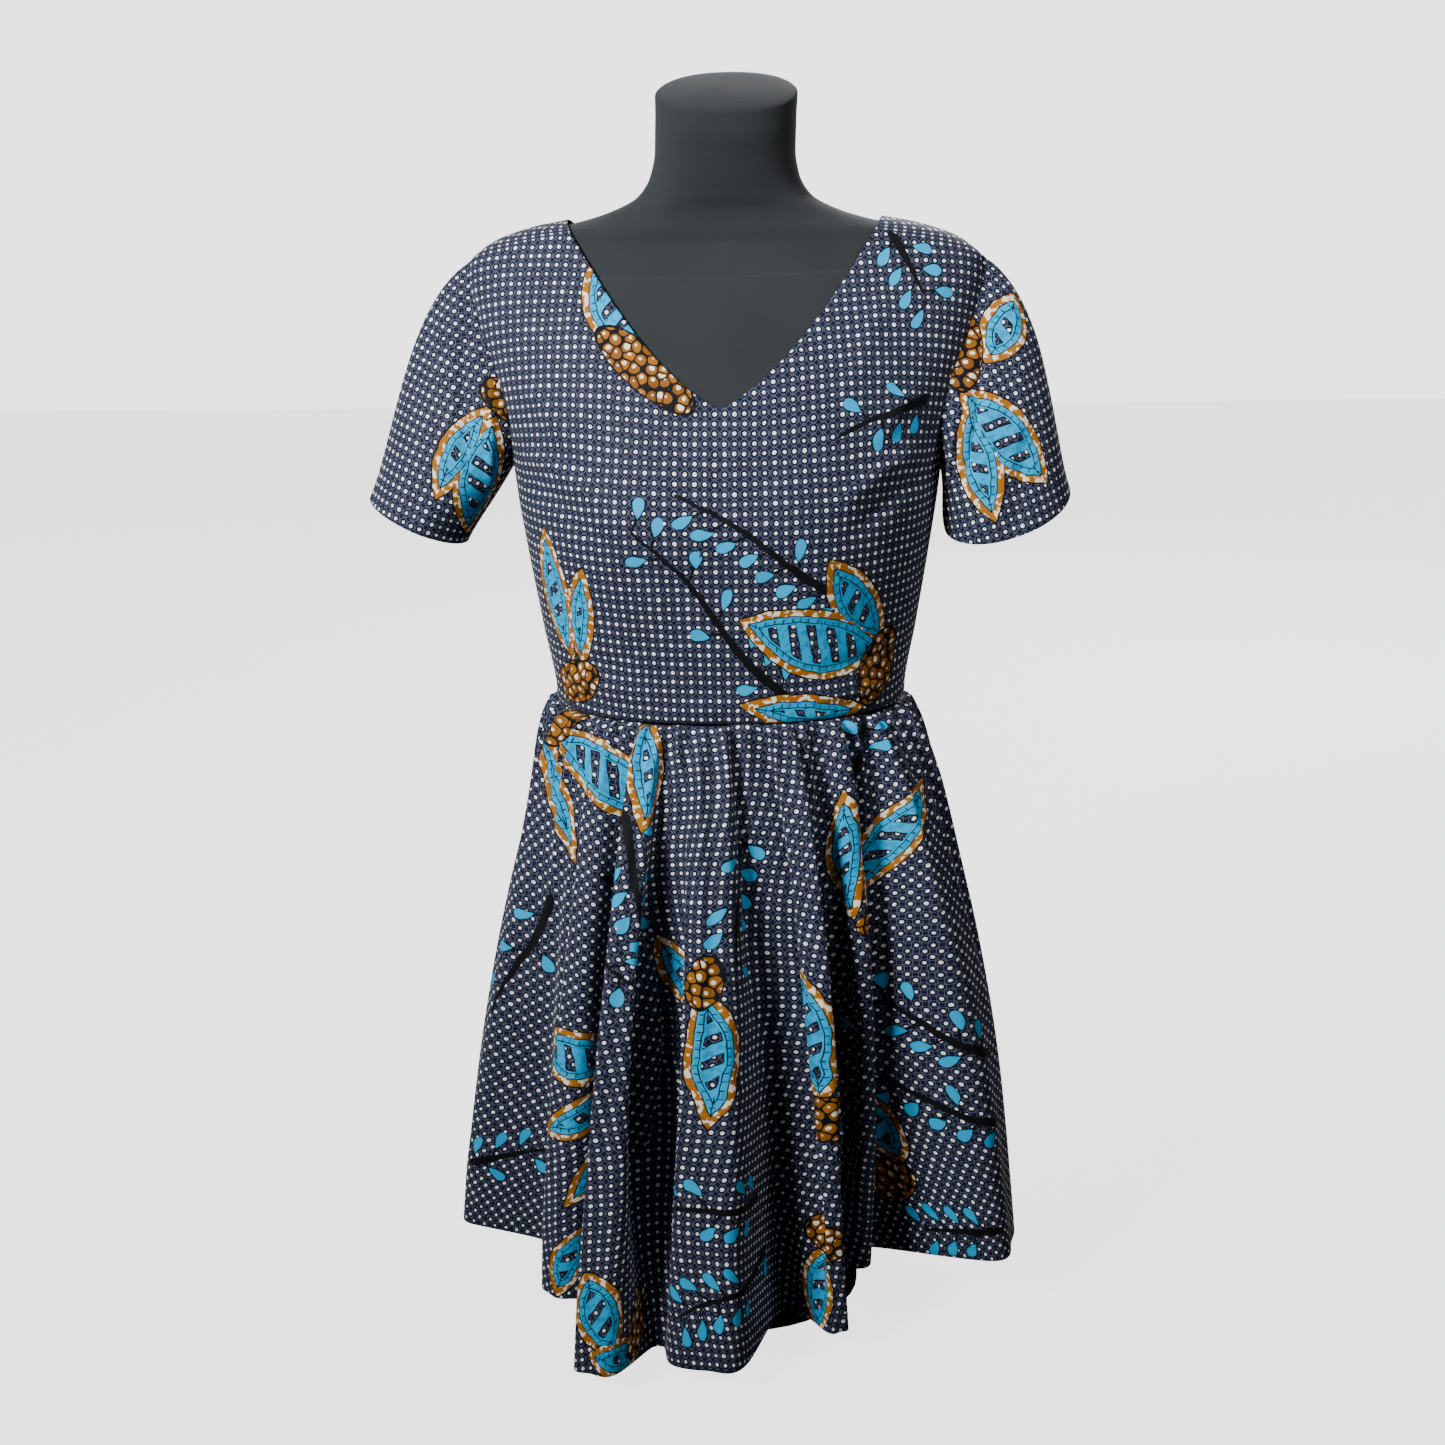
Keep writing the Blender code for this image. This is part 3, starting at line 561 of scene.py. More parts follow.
def halfPanel(back):
    # angle and height over one half of the front or back, from the centre to the side
    cut = bodiceCut
    u = np.linspace(0.0, 1.0, cut["columns"] + 1)[None, :]
    v = np.linspace(0.0, 1.0, cut["highRows"] + 1)[:, None]
    if back:
        # a row falls on the corner where the centre back meets the neckline
        corner = round(cut["centreBackShare"] * cut["highRows"])
        knots = [0, corner, cut["highRows"]]
        shares = [0.0, cut["centreBackShare"], 1.0]
        v = np.interp(np.arange(cut["highRows"] + 1), knots, shares)[:, None]
    inner = neckline(v, back)
    outer = armhole(math.pi * (1.0 - v), back)
    start = neckline(np.zeros((1, 1)), back)
    dip = cut["underarmDip"] * np.sin(math.pi * u ** 1.5)
    low = (
        start[0] + (math.pi / 2 - start[0]) * u,
        start[1] + (cut["underarm"] - start[1]) * u - dip,
    )
    high = (math.pi / 2 + 0.0 * u, cut["neckPoint"] + (cut["shoulderTip"] - cut["neckPoint"]) * u)
    upper = []
    for n in (0, 1):
        upper.append(
            (1 - u) * inner[n] + u * outer[n] + (1 - v) * low[n] + v * high[n]
            - (1 - u) * (1 - v) * inner[n][:1] - u * (1 - v) * outer[n][:1]
            - (1 - u) * v * inner[n][-1:] - u * v * outer[n][-1:]
        )
    share = np.arange(cut["lowRows"])[:, None] / cut["lowRows"]
    lowAngle = low[0] + 0.0 * share
    lowHeight = low[1] * share
    return np.concatenate([lowAngle, upper[0]]), np.concatenate([lowHeight, upper[1]])


def sectionArc(angle, height, back):
    # the way round the section from the centre front or the centre back
    steps = 25
    centre = math.pi if back else 0.0
    shares = np.linspace(0.0, 1.0, steps)
    path = np.stack([torsoPoint(centre + (angle - centre) * s, height) for s in shares])
    return travelled(path, 0)[-1]


seamMake = {
    "depth": 0.0009,
    "width": 0.0016,
    "puff": 0.0003,
    "puffAside": 0.004,
    "puffWidth": 0.003,
}


def seamGroove(distance):
    # a sewn seam sinks a little and puffs beside its stitches
    puff = seamMake["puff"] * bell(distance - seamMake["puffAside"], seamMake["puffWidth"])
    return puff - seamMake["depth"] * bell(distance, seamMake["width"])


frontCreases = millimetres(crease, (
    # x and height of both ends, then how far it bows, its width and its height
    (150, 205, 85, 165, 4, 6, 4.3),
    (158, 186, 95, 140, 5, 5.5, -3.2),
    (-152, 204, -88, 168, -4, 6, 4.3),
    (-158, 184, -92, 138, -5, 5.5, -3.2),
    (150, 250, 118, 215, 3, 7, 3.5),
    (-150, 255, -120, 212, -3, 7, 3.5),
    (0, 236, 1, 150, 0, 1.8, -1.5),
    (6, 232, 10, 130, 1, 8, 2),
    (-8, 230, -12, 120, -1, 8, 1.7),
    (-130, 30, -50, 20, 2, 5.5, 2.6),
    (-138, 48, -70, 46, 3, 6, -2),
    (132, 26, 60, 18, -2, 5.5, 2.6),
    (140, 50, 74, 42, -3, 6, -2),
    (-40, 14, 45, 16, 2, 6, 1.7),
    (-20, 95, -75, 120, 4, 10, -1.8),
    (24, 100, 72, 122, -4, 10, -1.8),
    (-120, 330, -85, 250, 4, 8, 2),
    (124, 325, 90, 245, -4, 8, 2),
))
backCreases = millimetres(crease, (
    (150, 210, 80, 190, 4, 7, 4.1),
    (155, 188, 85, 150, 5, 6, -3),
    (-148, 205, -82, 185, -4, 7, 3.8),
    (-155, 180, -90, 150, -5, 6, -3),
    (128, 40, 30, 30, 3, 6.5, 3.8),
    (130, 60, 45, 55, 3, 6.5, -2.8),
    (-126, 36, -24, 26, -3, 6.5, 3.8),
    (-132, 64, -50, 52, -3, 6.5, -2.8),
    (100, 90, 30, 82, 2, 8, 2.9),
    (-94, 86, -26, 76, -2, 8, 2.6),
))


def bodiceHalf(back, side):
    angle, height = halfPanel(back)
    points = torsoPoint(angle, height)
    reach = sectionArc(angle, height, back)
    start = np.stack([reach, height], axis=-1)
    pinned = np.zeros(height.shape, bool)
    pinned[:bodiceCut["lowRows"] + 1, 0] = True
    flat = relaxFlat(points, start, (4, 4), pinned)
    flip = np.array([side, 1.0, 1.0])
    return points * flip, flat * flip[:2]


def bodiceLift(points, quads, creases, centreSeam):
    # creases and the grooves of the waist, side and centre back seams
    x, z = points[:, 0], points[:, 2]
    side = torsoAt("halfWidth", z)
    depth = torsoAt("frontDepth", z)
    lift = creaseLift(x, z, creases)
    lift += seamGroove(z)
    sideGap = depth * np.sqrt(np.maximum(0.0, 1.0 - (np.abs(x) / side) ** torsoCut["squareness"]))
    lift += np.where(z < bodiceCut["underarm"], seamGroove(sideGap), 0.0)
    if centreSeam:
        lift += seamGroove(np.abs(x))
    return points + lift[:, None] * vertexNormals(points, quads)


def keepLine(points, normals, row, closed):
    # a line of stitches just proud of the cloth
    stitchLines.append((points[row] + stitchMake["proud"] * normals[row], closed))


def makeBodiceFront(material):
    rows = bodiceCut["lowRows"]
    rightPoints, rightFlat = bodiceHalf(False, 1)
    leftPoints, leftFlat = bodiceHalf(False, -1)
    count = rightPoints.shape[0] * rightPoints.shape[1]
    rightIndex = np.arange(count).reshape(rightPoints.shape[:2])
    leftIndex = rightIndex + count
    leftIndex[:rows + 1, 0] = rightIndex[:rows + 1, 0]
    points = np.concatenate([rightPoints.reshape(-1, 3), leftPoints.reshape(-1, 3)])
    quads = np.concatenate([gridQuads(rightIndex, False), gridQuads(leftIndex, True)])
    flats = np.concatenate([gridQuads(rightFlat, False), gridQuads(leftFlat, True)])
    used, quads = np.unique(quads, return_inverse=True)
    quads = quads.reshape(-1, 4)
    points = bodiceLift(points[used], quads, frontCreases, False)
    packed = np.full(2 * count, -1)
    packed[used] = np.arange(len(used))
    lines = [packed[grid[rows - 1:, stitchMake["neckColumns"]]] for grid in (leftIndex, rightIndex)]
    keepLine(points, vertexNormals(points, quads), np.concatenate([lines[0][::-1], lines[1]]), False)
    piece = makeCloth("bodiceFront", points, quads, flats, material)
    width = float(2 * np.max(rightFlat[..., 0]))
    return piece, (width, flatSize(rightFlat)[1]), 2 * flatArea(rightFlat)


def makeBodiceBack(name, side, material):
    points, flat = bodiceHalf(True, side)
    index = np.arange(points.shape[0] * points.shape[1]).reshape(points.shape[:2])
    quads = gridQuads(index, side > 0)
    points = bodiceLift(points.reshape(-1, 3), quads, backCreases, True)
    corner = bodiceCut["lowRows"] + round(bodiceCut["centreBackShare"] * bodiceCut["highRows"])
    neckRow = index[corner + 1:, stitchMake["neckColumns"]]
    keepLine(points, vertexNormals(points, quads), neckRow, False)
    return makePanel(name, points, index, flat, side > 0, material)


# Sleeves
cuffShape = namedtuple("cuffShape", "side centreX centreY centreZ halfWidth halfDepth tilt droop")
cuffs = {
    "sleeveLeft": cuffShape(-1, 0.2450, -0.002, 0.1440, 0.0415, 0.047, 25.0, 0.002),
    "sleeveRight": cuffShape(1, 0.2200, -0.002, 0.1480, 0.0505, 0.045, 16.0, 0.016),
}
sleeveMake = {
    "shrink": 0.0007,
    "lift": 0.0006,
    "leaveReach": 0.9,
    "arriveReach": 0.8,
    "columns": 120,
    "rows": 48,
    "rowPower": 1.15,
}


def sleeveStart(turn):
    back = np.sin(turn) < 0.0
    angle, height = armhole(turn, back)
    middle = 0.5 * (bodiceCut["shoulderTip"] + bodiceCut["underarm"])
    half = 0.5 * (bodiceCut["shoulderTip"] - bodiceCut["underarm"])
    height = middle + (height - middle) * (1.0 - sleeveMake["shrink"] / half)
    backDepth = torsoAt("backDepth", height)
    depth = np.where(back, backDepth, torsoAt("frontDepth", height))
    angle = angle + np.where(back, -1.0, 1.0) * sleeveMake["shrink"] * np.abs(np.sin(turn)) / depth
    lift = sleeveMake["lift"] * 0.5 * (1.0 - np.cos(turn))
    return torsoPoint(angle, height) + lift[..., None] * torsoNormal(angle, height)


def sleevePoint(cuff, turn, fall):
    # from the armhole out over the shoulder, then down to the oval cuff
    tilt = math.radians(cuff.tilt)
    outward = np.array([math.cos(tilt), 0.0, math.sin(tilt)])
    forward = np.array([0.0, -cuff.halfDepth, -cuff.droop])
    centre = np.array([cuff.centreX, cuff.centreY, cuff.centreZ])
    cosine, sine = np.cos(turn)[..., None], np.sin(turn)[..., None]
    start = sleeveStart(turn)
    end = centre + outward * cuff.halfWidth * cosine + forward * sine
    length = np.linalg.norm(end - start, axis=-1, keepdims=True)
    top = np.maximum(0.0, cosine) ** 3
    swell = sine ** 2
    leave = np.concatenate([
        0.42 + 0.25 * cosine + 0.28 * swell + 0.25 * top,
        -0.42 * sine,
        -0.86 + 0.06 * cosine + 0.34 * swell + 0.25 * top,
    ], axis=-1)
    leave = unit(leave) * length * sleeveMake["leaveReach"]
    arrive = np.array([math.sin(tilt), 0.0, -math.cos(tilt)]) * length * sleeveMake["arriveReach"]
    t = fall[..., None]
    return (
        start * (1 + 2 * t) * (1 - t) ** 2
        + end * t * t * (3 - 2 * t)
        + leave * t * (1 - t) ** 2
        - arrive * t * t * (1 - t)
    )


# Across is the way round from the top in degrees, positive to the front, and down is the
# share of the way to the cuff.
sleeveFold = namedtuple("sleeveFold", "across1 down1 across2 down2 width height")
sleeveFolds = {
    "sleeveLeft": (
        (60, 0.02, 120, 0.5, 0.008, 0.004),
        (95, 0, 150, 0.45, 0.007, -0.0036),
        (25, 0.05, 60, 0.6, 0.01, 0.002),
        (120, 0.55, 95, 1.05, 0.01, -0.0026),
        (-60, 0.02, -130, 0.5, 0.009, 0.0036),
        (-100, 0.05, -150, 0.6, 0.008, -0.0032),
        (-20, 0.35, -30, 1.05, 0.012, 0.0018),
    ),
    "sleeveRight": (
        (70, 0.02, 125, 0.55, 0.008, 0.004),
        (100, 0, 155, 0.5, 0.007, -0.0034),
        (35, 0.1, 75, 0.7, 0.011, -0.0022),
        (60, 0.5, 90, 1.05, 0.01, 0.0028),
        (-55, 0.02, -125, 0.55, 0.009, 0.0036),
        (-95, 0.05, -150, 0.55, 0.008, -0.0034),
        (10, 0.4, 5, 1.05, 0.012, 0.0016),
    ),
}


def makeSleeve(name, material):
    cuff = cuffs[name]
    columns, rows = sleeveMake["columns"], sleeveMake["rows"]
    turn = np.linspace(-math.pi, math.pi, columns + 1)[None, :] + np.zeros((rows + 1, 1))
    fall = np.linspace(0.0, 1.0, rows + 1)[:, None] ** sleeveMake["rowPower"] + 0.0 * turn
    points = sleevePoint(cuff, turn, fall)
    ring = travelled(points)[:, -1:]
    down = travelled(points, 0)
    below = down[-1:] - np.mean(down[-1]) - down
    start = np.stack([ring * turn / (2 * math.pi), below], axis=-1)
    flat = relaxFlat(points, start, (4, 4))
    lift = np.zeros_like(turn)
    degrees = np.degrees(turn)
    for row in sleeveFolds[name]:
        fold = sleeveFold(*row)
        share = (fall - fold.down1) / (fold.down2 - fold.down1)
        middle = fold.across1 + (fold.across2 - fold.across1) * share
        aside = (degrees - middle) / 360.0 * ring
        taper = softStep(-0.05, 0.30, share) * softStep(-0.05, 0.30, 1.0 - share)
        lift += fold.height * bell(aside, fold.width) * taper
    lift += seamGroove(down)
    index = np.arange((rows + 1) * (columns + 1)).reshape(rows + 1, columns + 1)
    index[:, -1] = index[:, 0]
    flip = np.array([cuff.side, 1.0, 1.0])
    skin = (points * flip).reshape(-1, 3)
    normals = vertexNormals(skin, gridQuads(index, cuff.side > 0))
    skin = skin + lift.reshape(-1, 1) * normals
    keepLine(skin, normals, index[-1 - stitchMake["cuffRows"], :-1], True)
    return makePanel(name, skin, index, flat * flip[:2], cuff.side > 0, material)


# Skirt: sections without folds, then one row for each fold of the hem seen from above
skirtSection = namedtuple("skirtSection", "fall halfWidth frontDepth backDepth")
skirtRows = [skirtSection(*row) for row in (
    (0, 0.139, 0.104, 0.09),
    (0.02, 0.1455, 0.1075, 0.0945),
    (0.05, 0.153, 0.113, 0.101),
    (0.1, 0.161, 0.1195, 0.109),
    (0.17, 0.1685, 0.1275, 0.1185),
    (0.26, 0.176, 0.1365, 0.1305),
    (0.37, 0.184, 0.146, 0.143),
    (0.5, 0.1915, 0.1545, 0.154),
    (0.64, 0.1975, 0.1615, 0.162),
    (0.78, 0.2015, 0.166, 0.1675),
    (0.9, 0.204, 0.169, 0.1705),
    (1, 0.205, 0.171, 0.172),
)]
hemFold = namedtuple(
    "hemFold", "waistAngle hemAngle span radius valleyAngle valleyRadius growth rise"
)
hemFolds = [hemFold(*row) for row in (
    (-66, -87, 7, 0.23, -71, 0.162, 1.05, 0.044),
    (-40, -50, 5.5, 0.193, -36, 0.145, 0.95, 0.024),
    (-23, -26.5, 4.5, 0.237, -18.5, 0.178, 0.7, 0),
    (-5, -4.5, 8, 0.21, 21.5, 0.115, 0.8, 0.002),
    (17, 30.5, 3.5, 0.171, 43, 0.11, 0.85, 0.004),
    (37, 54, 3.5, 0.136, 66, 0.124, 0.9, 0.028),
    (62, 79, 10, 0.232, 100, 0.173, 0.75, 0.034),
    (114, 113, 4.5, 0.224, 123.5, 0.164, 0.75, 0.03),
    (132, 135, 6, 0.213, 146.5, 0.148, 0.85, 0.014),
    (152, 156, 4, 0.229, 165, 0.16, 0.75, 0.005),
    (176, 177, 7.5, 0.212, 190.5, 0.142, 0.9, 0),
    (204, 200, 4, 0.226, 210, 0.162, 0.8, 0.007),
    (226, 221.5, 5.5, 0.211, 232.5, 0.15, 0.9, 0.02),
    (246, 244, 5, 0.226, 257, 0.169, 1, 0.032),
)]
skirtMake = {
    "crestDrop": 0.975,
    "crestShare": 0.22,
    "seamGap": 0.0003,
    "lean": 0.0035,
    "leanStart": 0.12,
    "columns": 320,  # in each of the two panels
    "rows": 88,
    "rowPower": 1.12,
    "risePower": 1.5,
    "finePerMark": 64,
    "deepTrough": -0.006,
    "deepen": 2.0,
    "narrow": 0.62,
    "formGap": 0.0026,
    "fullness": 1.1,
    "gathers": 56,
    "gatherHeight": 0.0075,
    "gatherLength": 0.17,
    "gatherWidth": 0.0034,
    "gatherSink": 0.45,
}


def hemMarks():
    marks = []
    for n, fold in enumerate(hemFolds):
        last = n + 1 == len(hemFolds)
        following = hemFolds[0 if last else n + 1]
        nextWaist = following.waistAngle + (360.0 if last else 0.0)
        step = skirtMake["crestShare"] * (nextWaist - fold.waistAngle)
        edge = fold.radius * skirtMake["crestDrop"]
        halfway = 0.5 * (fold.waistAngle + nextWaist)
        own = (fold.growth, fold.rise)
        valley = (0.5 * (fold.growth + following.growth), 0.5 * (fold.rise + following.rise))
        marks += [
            (fold.waistAngle - step, fold.hemAngle - fold.span, edge) + own,
            (fold.waistAngle, fold.hemAngle, fold.radius) + own,
            (fold.waistAngle + step, fold.hemAngle + fold.span, edge) + own,
            (halfway, fold.valleyAngle, fold.valleyRadius) + valley,
        ]
    return np.array(marks)


def smoothValue(before, start, end, after, t):
    return 0.5 * (
        2 * start
        + (end - before) * t
        + (2 * before - 5 * start + 4 * end - after) * t * t
        + (3 * start - before - 3 * end + after) * t ** 3
    )


def skirtColumns():
    # columns from the left side seam round: both angles, the hem's x and y, growth, rise
    marks = hemMarks()
    count = len(marks)
    t = np.arange(skirtMake["finePerMark"]) / skirtMake["finePerMark"]
    samples = []
    for n in range(-count, 2 * count):
        four = []
        for k in (-1, 0, 1, 2):
            waist, hem, radius, growth, rise = marks[(n + k) % count]
            whole = 2 * math.pi * ((n + k) // count)
            angle = math.radians(hem) + whole
            x, y = radius * math.sin(angle), -radius * math.cos(angle)
            four.append((math.radians(waist) + whole, angle, x, y, growth, rise))
        columns = [
            four[1][0] + (four[2][0] - four[1][0]) * t,
            *(smoothValue(*(row[k] for row in four), t) for k in (1, 2, 3)),
            four[1][4] + (four[2][4] - four[1][4]) * t,
            four[1][5] + (four[2][5] - four[1][5]) * (3 - 2 * t) * t * t,
        ]
        samples.append(np.stack(columns, axis=1))
    samples = np.concatenate(samples)
    panels = []
    for start in (-0.5 * math.pi, 0.5 * math.pi):
        inside = samples[(samples[:, 0] >= start) & (samples[:, 0] <= start + math.pi)]
        run = travelled(inside[:, 2:4], 0)
        goals = np.linspace(0.0, run[-1], skirtMake["columns"] + 1)
        picked = [np.interp(goals, run, inside[:, k]) for k in range(6)]
        panels.append(np.stack(picked, axis=1)[:-1])
    return np.concatenate(panels)


def skirtBase(angle, fall):
    front = np.cos(angle) > 0.0
    frontDepth = readTable(skirtRows, "frontDepth", fall)
    depth = np.where(front, frontDepth, readTable(skirtRows, "backDepth", fall))
    power = torsoCut["squareness"] + (2.0 - torsoCut["squareness"]) * fall
    across = np.sin(angle)
    along = np.sqrt(np.maximum(0.0, 1.0 - np.abs(across) ** power))
    x = readTable(skirtRows, "halfWidth", fall) * across
    return np.stack([x, np.where(front, -1.0, 1.0) * depth * along], axis=-1)


# Ridges and troughs that run down the skirt, by their angle at the waist in degrees
skirtFold = namedtuple("skirtFold", "angle1 fall1 angle2 fall2 width height")
skirtFolds = [skirtFold(*row) for row in (
    (-52, 0.02, -55, 0.6, 0.009, 0.005),
    (-44, 0, -46, 0.7, 0.007, -0.005),
    (-31, -0.06, -32, 0.95, 0.01, -0.011),
    (-24, 0.03, -25, 0.7, 0.007, 0.004),
    (-16, -0.08, -14, 1, 0.0125, -0.013),
    (-7, 0, -6, 0.6, 0.007, 0.005),
    (4, 0, 4, 0.5, 0.0055, -0.004),
    (12.5, -0.08, 11, 0.98, 0.013, -0.013),
    (21, 0, 20, 0.75, 0.0065, 0.0055),
    (29.5, -0.08, 28, 0.98, 0.012, -0.0125),
    (36, 0, 37, 0.6, 0.006, 0.0045),
    (42, -0.06, 46, 0.85, 0.0095, -0.0095),
    (66, 0.02, 68, 0.55, 0.008, -0.0035),
    (-70, 0.02, -74, 0.55, 0.008, -0.0035),
    (-30, 0.55, -29, 1.02, 0.008, 0.003),
    (10, 0.6, 8, 1.02, 0.009, 0.003),
    (112, 0.02, 112, 0.55, 0.008, 0.004),
    (123, 0.02, 124, 0.75, 0.0085, -0.007),
    (133, 0.02, 134, 0.55, 0.0065, 0.0036),
    (143, 0.02, 142, 0.7, 0.0085, -0.0068),
    (154, 0.02, 154, 0.55, 0.007, 0.004),
    (165, 0.02, 164, 0.8, 0.009, -0.0078),
    (177, 0.02, 177, 0.5, 0.007, 0.0036),
    (190, 0.02, 190, 0.75, 0.0085, -0.0072),
    (203, 0.02, 202, 0.6, 0.007, 0.004),
    (214, 0.02, 216, 0.7, 0.0085, -0.007),
    (226, 0.02, 226, 0.55, 0.0065, 0.0036),
    (236, 0.02, 238, 0.65, 0.008, -0.0062),
)]


def skirtRing():
    columns = skirtColumns()
    falls = np.linspace(0.0, 1.0, skirtMake["rows"] + 1) ** skirtMake["rowPower"]
    waist, turned, hemX, hemY, growth, rise = (columns[None, :, k] for k in range(6))
    fall = falls[:, None] + 0.0 * waist
    base = skirtBase(waist + (turned - waist) * fall, fall)
    hemBase = skirtBase(turned, np.ones_like(turned))
    fold = np.stack([hemX, hemY], axis=-1) - hemBase
    flat = base + fold * (fall ** growth)[..., None]
    sway = np.sin(math.pi * np.minimum(1.0, fall + skirtMake["leanStart"]))
    sway *= np.minimum(1.0, fall / skirtMake["leanStart"]) * skirtMake["lean"]
    z = -skirtMake["seamGap"] - (skirtDrop - skirtMake["seamGap"]) * fall
    z += rise * fall ** skirtMake["risePower"]
    points = np.stack([flat[..., 0] + sway, flat[..., 1], z], axis=-1)

    # small uneven gathers below the waist seam, then the ridges and troughs
    ring = travelled(np.concatenate([points, points[:, :1]], axis=1))[:, -1:]
    rng = np.random.default_rng(7)
    count = skirtMake["gathers"]
    spots = -90.0 + 360.0 * (np.arange(count) + rng.uniform(-0.28, 0.28, count)) / count
    heights = skirtMake["gatherHeight"] * rng.uniform(0.45, 1.35, count)
    lengths = skirtMake["gatherLength"] * rng.uniform(0.6, 1.5, count)
    degrees = np.degrees(waist)
    lift = np.zeros_like(fall)
    for spot, height, length in zip(spots, heights, lengths):
        aside = (degrees - spot) / 360.0 * ring
        fade = bell(fall, length) * softStep(0.0, 0.012, fall)
        lift += height * fade * bell(aside, skirtMake["gatherWidth"])
    lift -= skirtMake["gatherSink"] * skirtMake["gatherHeight"] * bell(fall, skirtMake["gatherLength"])
    for row in skirtFolds:
        share = (fall - row.fall1) / (row.fall2 - row.fall1)
        middle = row.angle1 + (row.angle2 - row.angle1) * share
        aside = (degrees - middle) / 360.0 * ring
        taper = softStep(-0.05, 0.30, share) * softStep(-0.05, 0.35, 1.0 - share)
        taper *= softStep(0.0, 0.04, fall)
        # troughs are narrow near the waist and the main ones run deeper below
        deep = skirtMake["deepen"] * (row.height < skirtMake["deepTrough"])
        deeper = 1.0 + deep * softStep(0.10, 0.55, fall)
        narrow = skirtMake["narrow"]
        width = row.width * (narrow + (1.0 - narrow) * softStep(0.0, 0.5, fall))
        lift += row.height * deeper * bell(aside, width) * taper
    sideDistance = np.abs(((degrees + 180.0) % 180.0) - 90.0) / 360.0 * ring
    lift += seamGroove(sideDistance) + seamGroove(fall * skirtDrop)
    return points, lift


def keepOff(points):
    # cloth that would dip into the form lies just outside it
    x, y, z = points.T
    height = np.maximum(z, formCut["bottom"])
    middle = torsoAt("centre", height)
    air = skirtMake["formGap"] - torsoAt("ease", height)
    depth = np.where(
        y < middle, torsoAt("frontDepth", height), torsoAt("backDepth", height)
    )
    across = np.abs(x) / (torsoAt("halfWidth", height) + air)
    along = np.abs(y - middle) / (depth + air)
    reach = (across ** torsoCut["squareness"] + along ** 2) ** 0.5
    # below the form the cloth is let in again little by little
    below = softStep(0.0, 0.06, formCut["bottom"] - z)
    push = np.maximum(1.0, (1.0 - below) / np.maximum(reach, 0.3))
    return points * np.stack([push, push, np.ones_like(push)], axis=1)


def makeSkirt(material):
    points, lift = skirtRing()
    rows, around = points.shape[:2]
    index = np.arange(rows * around).reshape(rows, around)
    closed = np.concatenate([index, index[:, :1]], axis=1)
    normals = vertexNormals(points.reshape(-1, 3), gridQuads(closed, True))
    skin = keepOff(points.reshape(-1, 3) + lift.reshape(-1, 1) * normals)
    keepLine(skin, normals, index[-1 - stitchMake["hemRows"]], True)
    made = []
    columns = skirtMake["columns"]
    for n, label in enumerate(("skirtFront", "skirtBack")):
        ids = closed[:, n * columns:(n + 1) * columns + 1]
        grid = points.reshape(-1, 3)[ids]
        # the pattern starts as a sector of a ring
        runs = travelled(grid)
        down = travelled(grid, 0)
        widths = runs[:, -1:]
        spread = (widths[-1, 0] - widths[0, 0]) / np.mean(down[-1])
        innerRadius = widths[0, 0] / spread
        turn = spread * (runs / widths - 0.5)
        radius = innerRadius + down
        start = np.stack([radius * np.sin(turn), innerRadius - radius * np.cos(turn)], axis=-1)
        flat = relaxFlat(grid, start, (8, 4))
        # cloth taken up by each crease is given back along its row
        folded = travelled(skin[ids])
        share = folded / folded[:, -1:] - 0.5
        shift = share * widths * skirtMake["fullness"] - runs + 0.5 * widths
        flat = flat + shift[..., None] * np.stack([np.cos(turn), np.sin(turn)], axis=-1)
        if n == 1:
            flat = flat * np.array([-1.0, 1.0])
        made.append(makePanel(label, skin, ids, flat, True, material))
    return made


# Dress form: one smooth padded body under a knitted cover
formCut = {
    "bottom": -0.250,
    "bottomRound": 0.004,
    "bottomShare": 0.955,
    "fineFrom": 0.320,
    "lowRows": 60,
    "highRows": 130,
    "capStart": 0.420,
    "neckTop": 0.467,
    "capTilt": 16.0,  # degrees
    "neckLean": 0.0035,
    "wall": 0.0015,
    "seamTuck": 0.0012,
    "columns": 160,
}


# The neck of the cover is sewn to its body along a line that dips to the front
neckSeam = namedtuple("neckSeam", "angle height")
neckSeamRows = [neckSeam(*row) for row in (
    (-180, 0.383), (-110, 0.364), (-85, 0.35), (-60, 0.339), (-31, 0.3352), (-5, 0.3357),
    (25, 0.3383), (46, 0.3418), (62, 0.347), (85, 0.358), (110, 0.368), (180, 0.383),
)]


def seamStep(angle, height):
    # the cover's neck is tucked behind the edge of its body
    degrees = np.degrees(np.arctan2(np.sin(angle), np.cos(angle)))
    above = height - readTable(neckSeamRows, "height", degrees)
    return formCut["seamTuck"] * (softStep(-0.0008, 0.0012, above) - 0.6 * softStep(0.002, 0.035, above))


def formPoint(angle, height):
    cut = formCut
    inset = cut["wall"] + torsoAt("ease", height) + seamStep(angle, height)
    point = torsoPoint(angle, height) - inset[..., None] * torsoNormal(angle, height)
    neckPoint = bodiceCut["neckPoint"]
    lean = np.maximum(0.0, (height - neckPoint) / (cut["neckTop"] - neckPoint))
    point[..., 0] += cut["neckLean"] * lean
    tilt = np.maximum(0.0, (height - cut["capStart"]) / (cut["neckTop"] - cut["capStart"]))
    point[..., 2] += tilt * math.tan(math.radians(cut["capTilt"])) * point[..., 1]
    return point


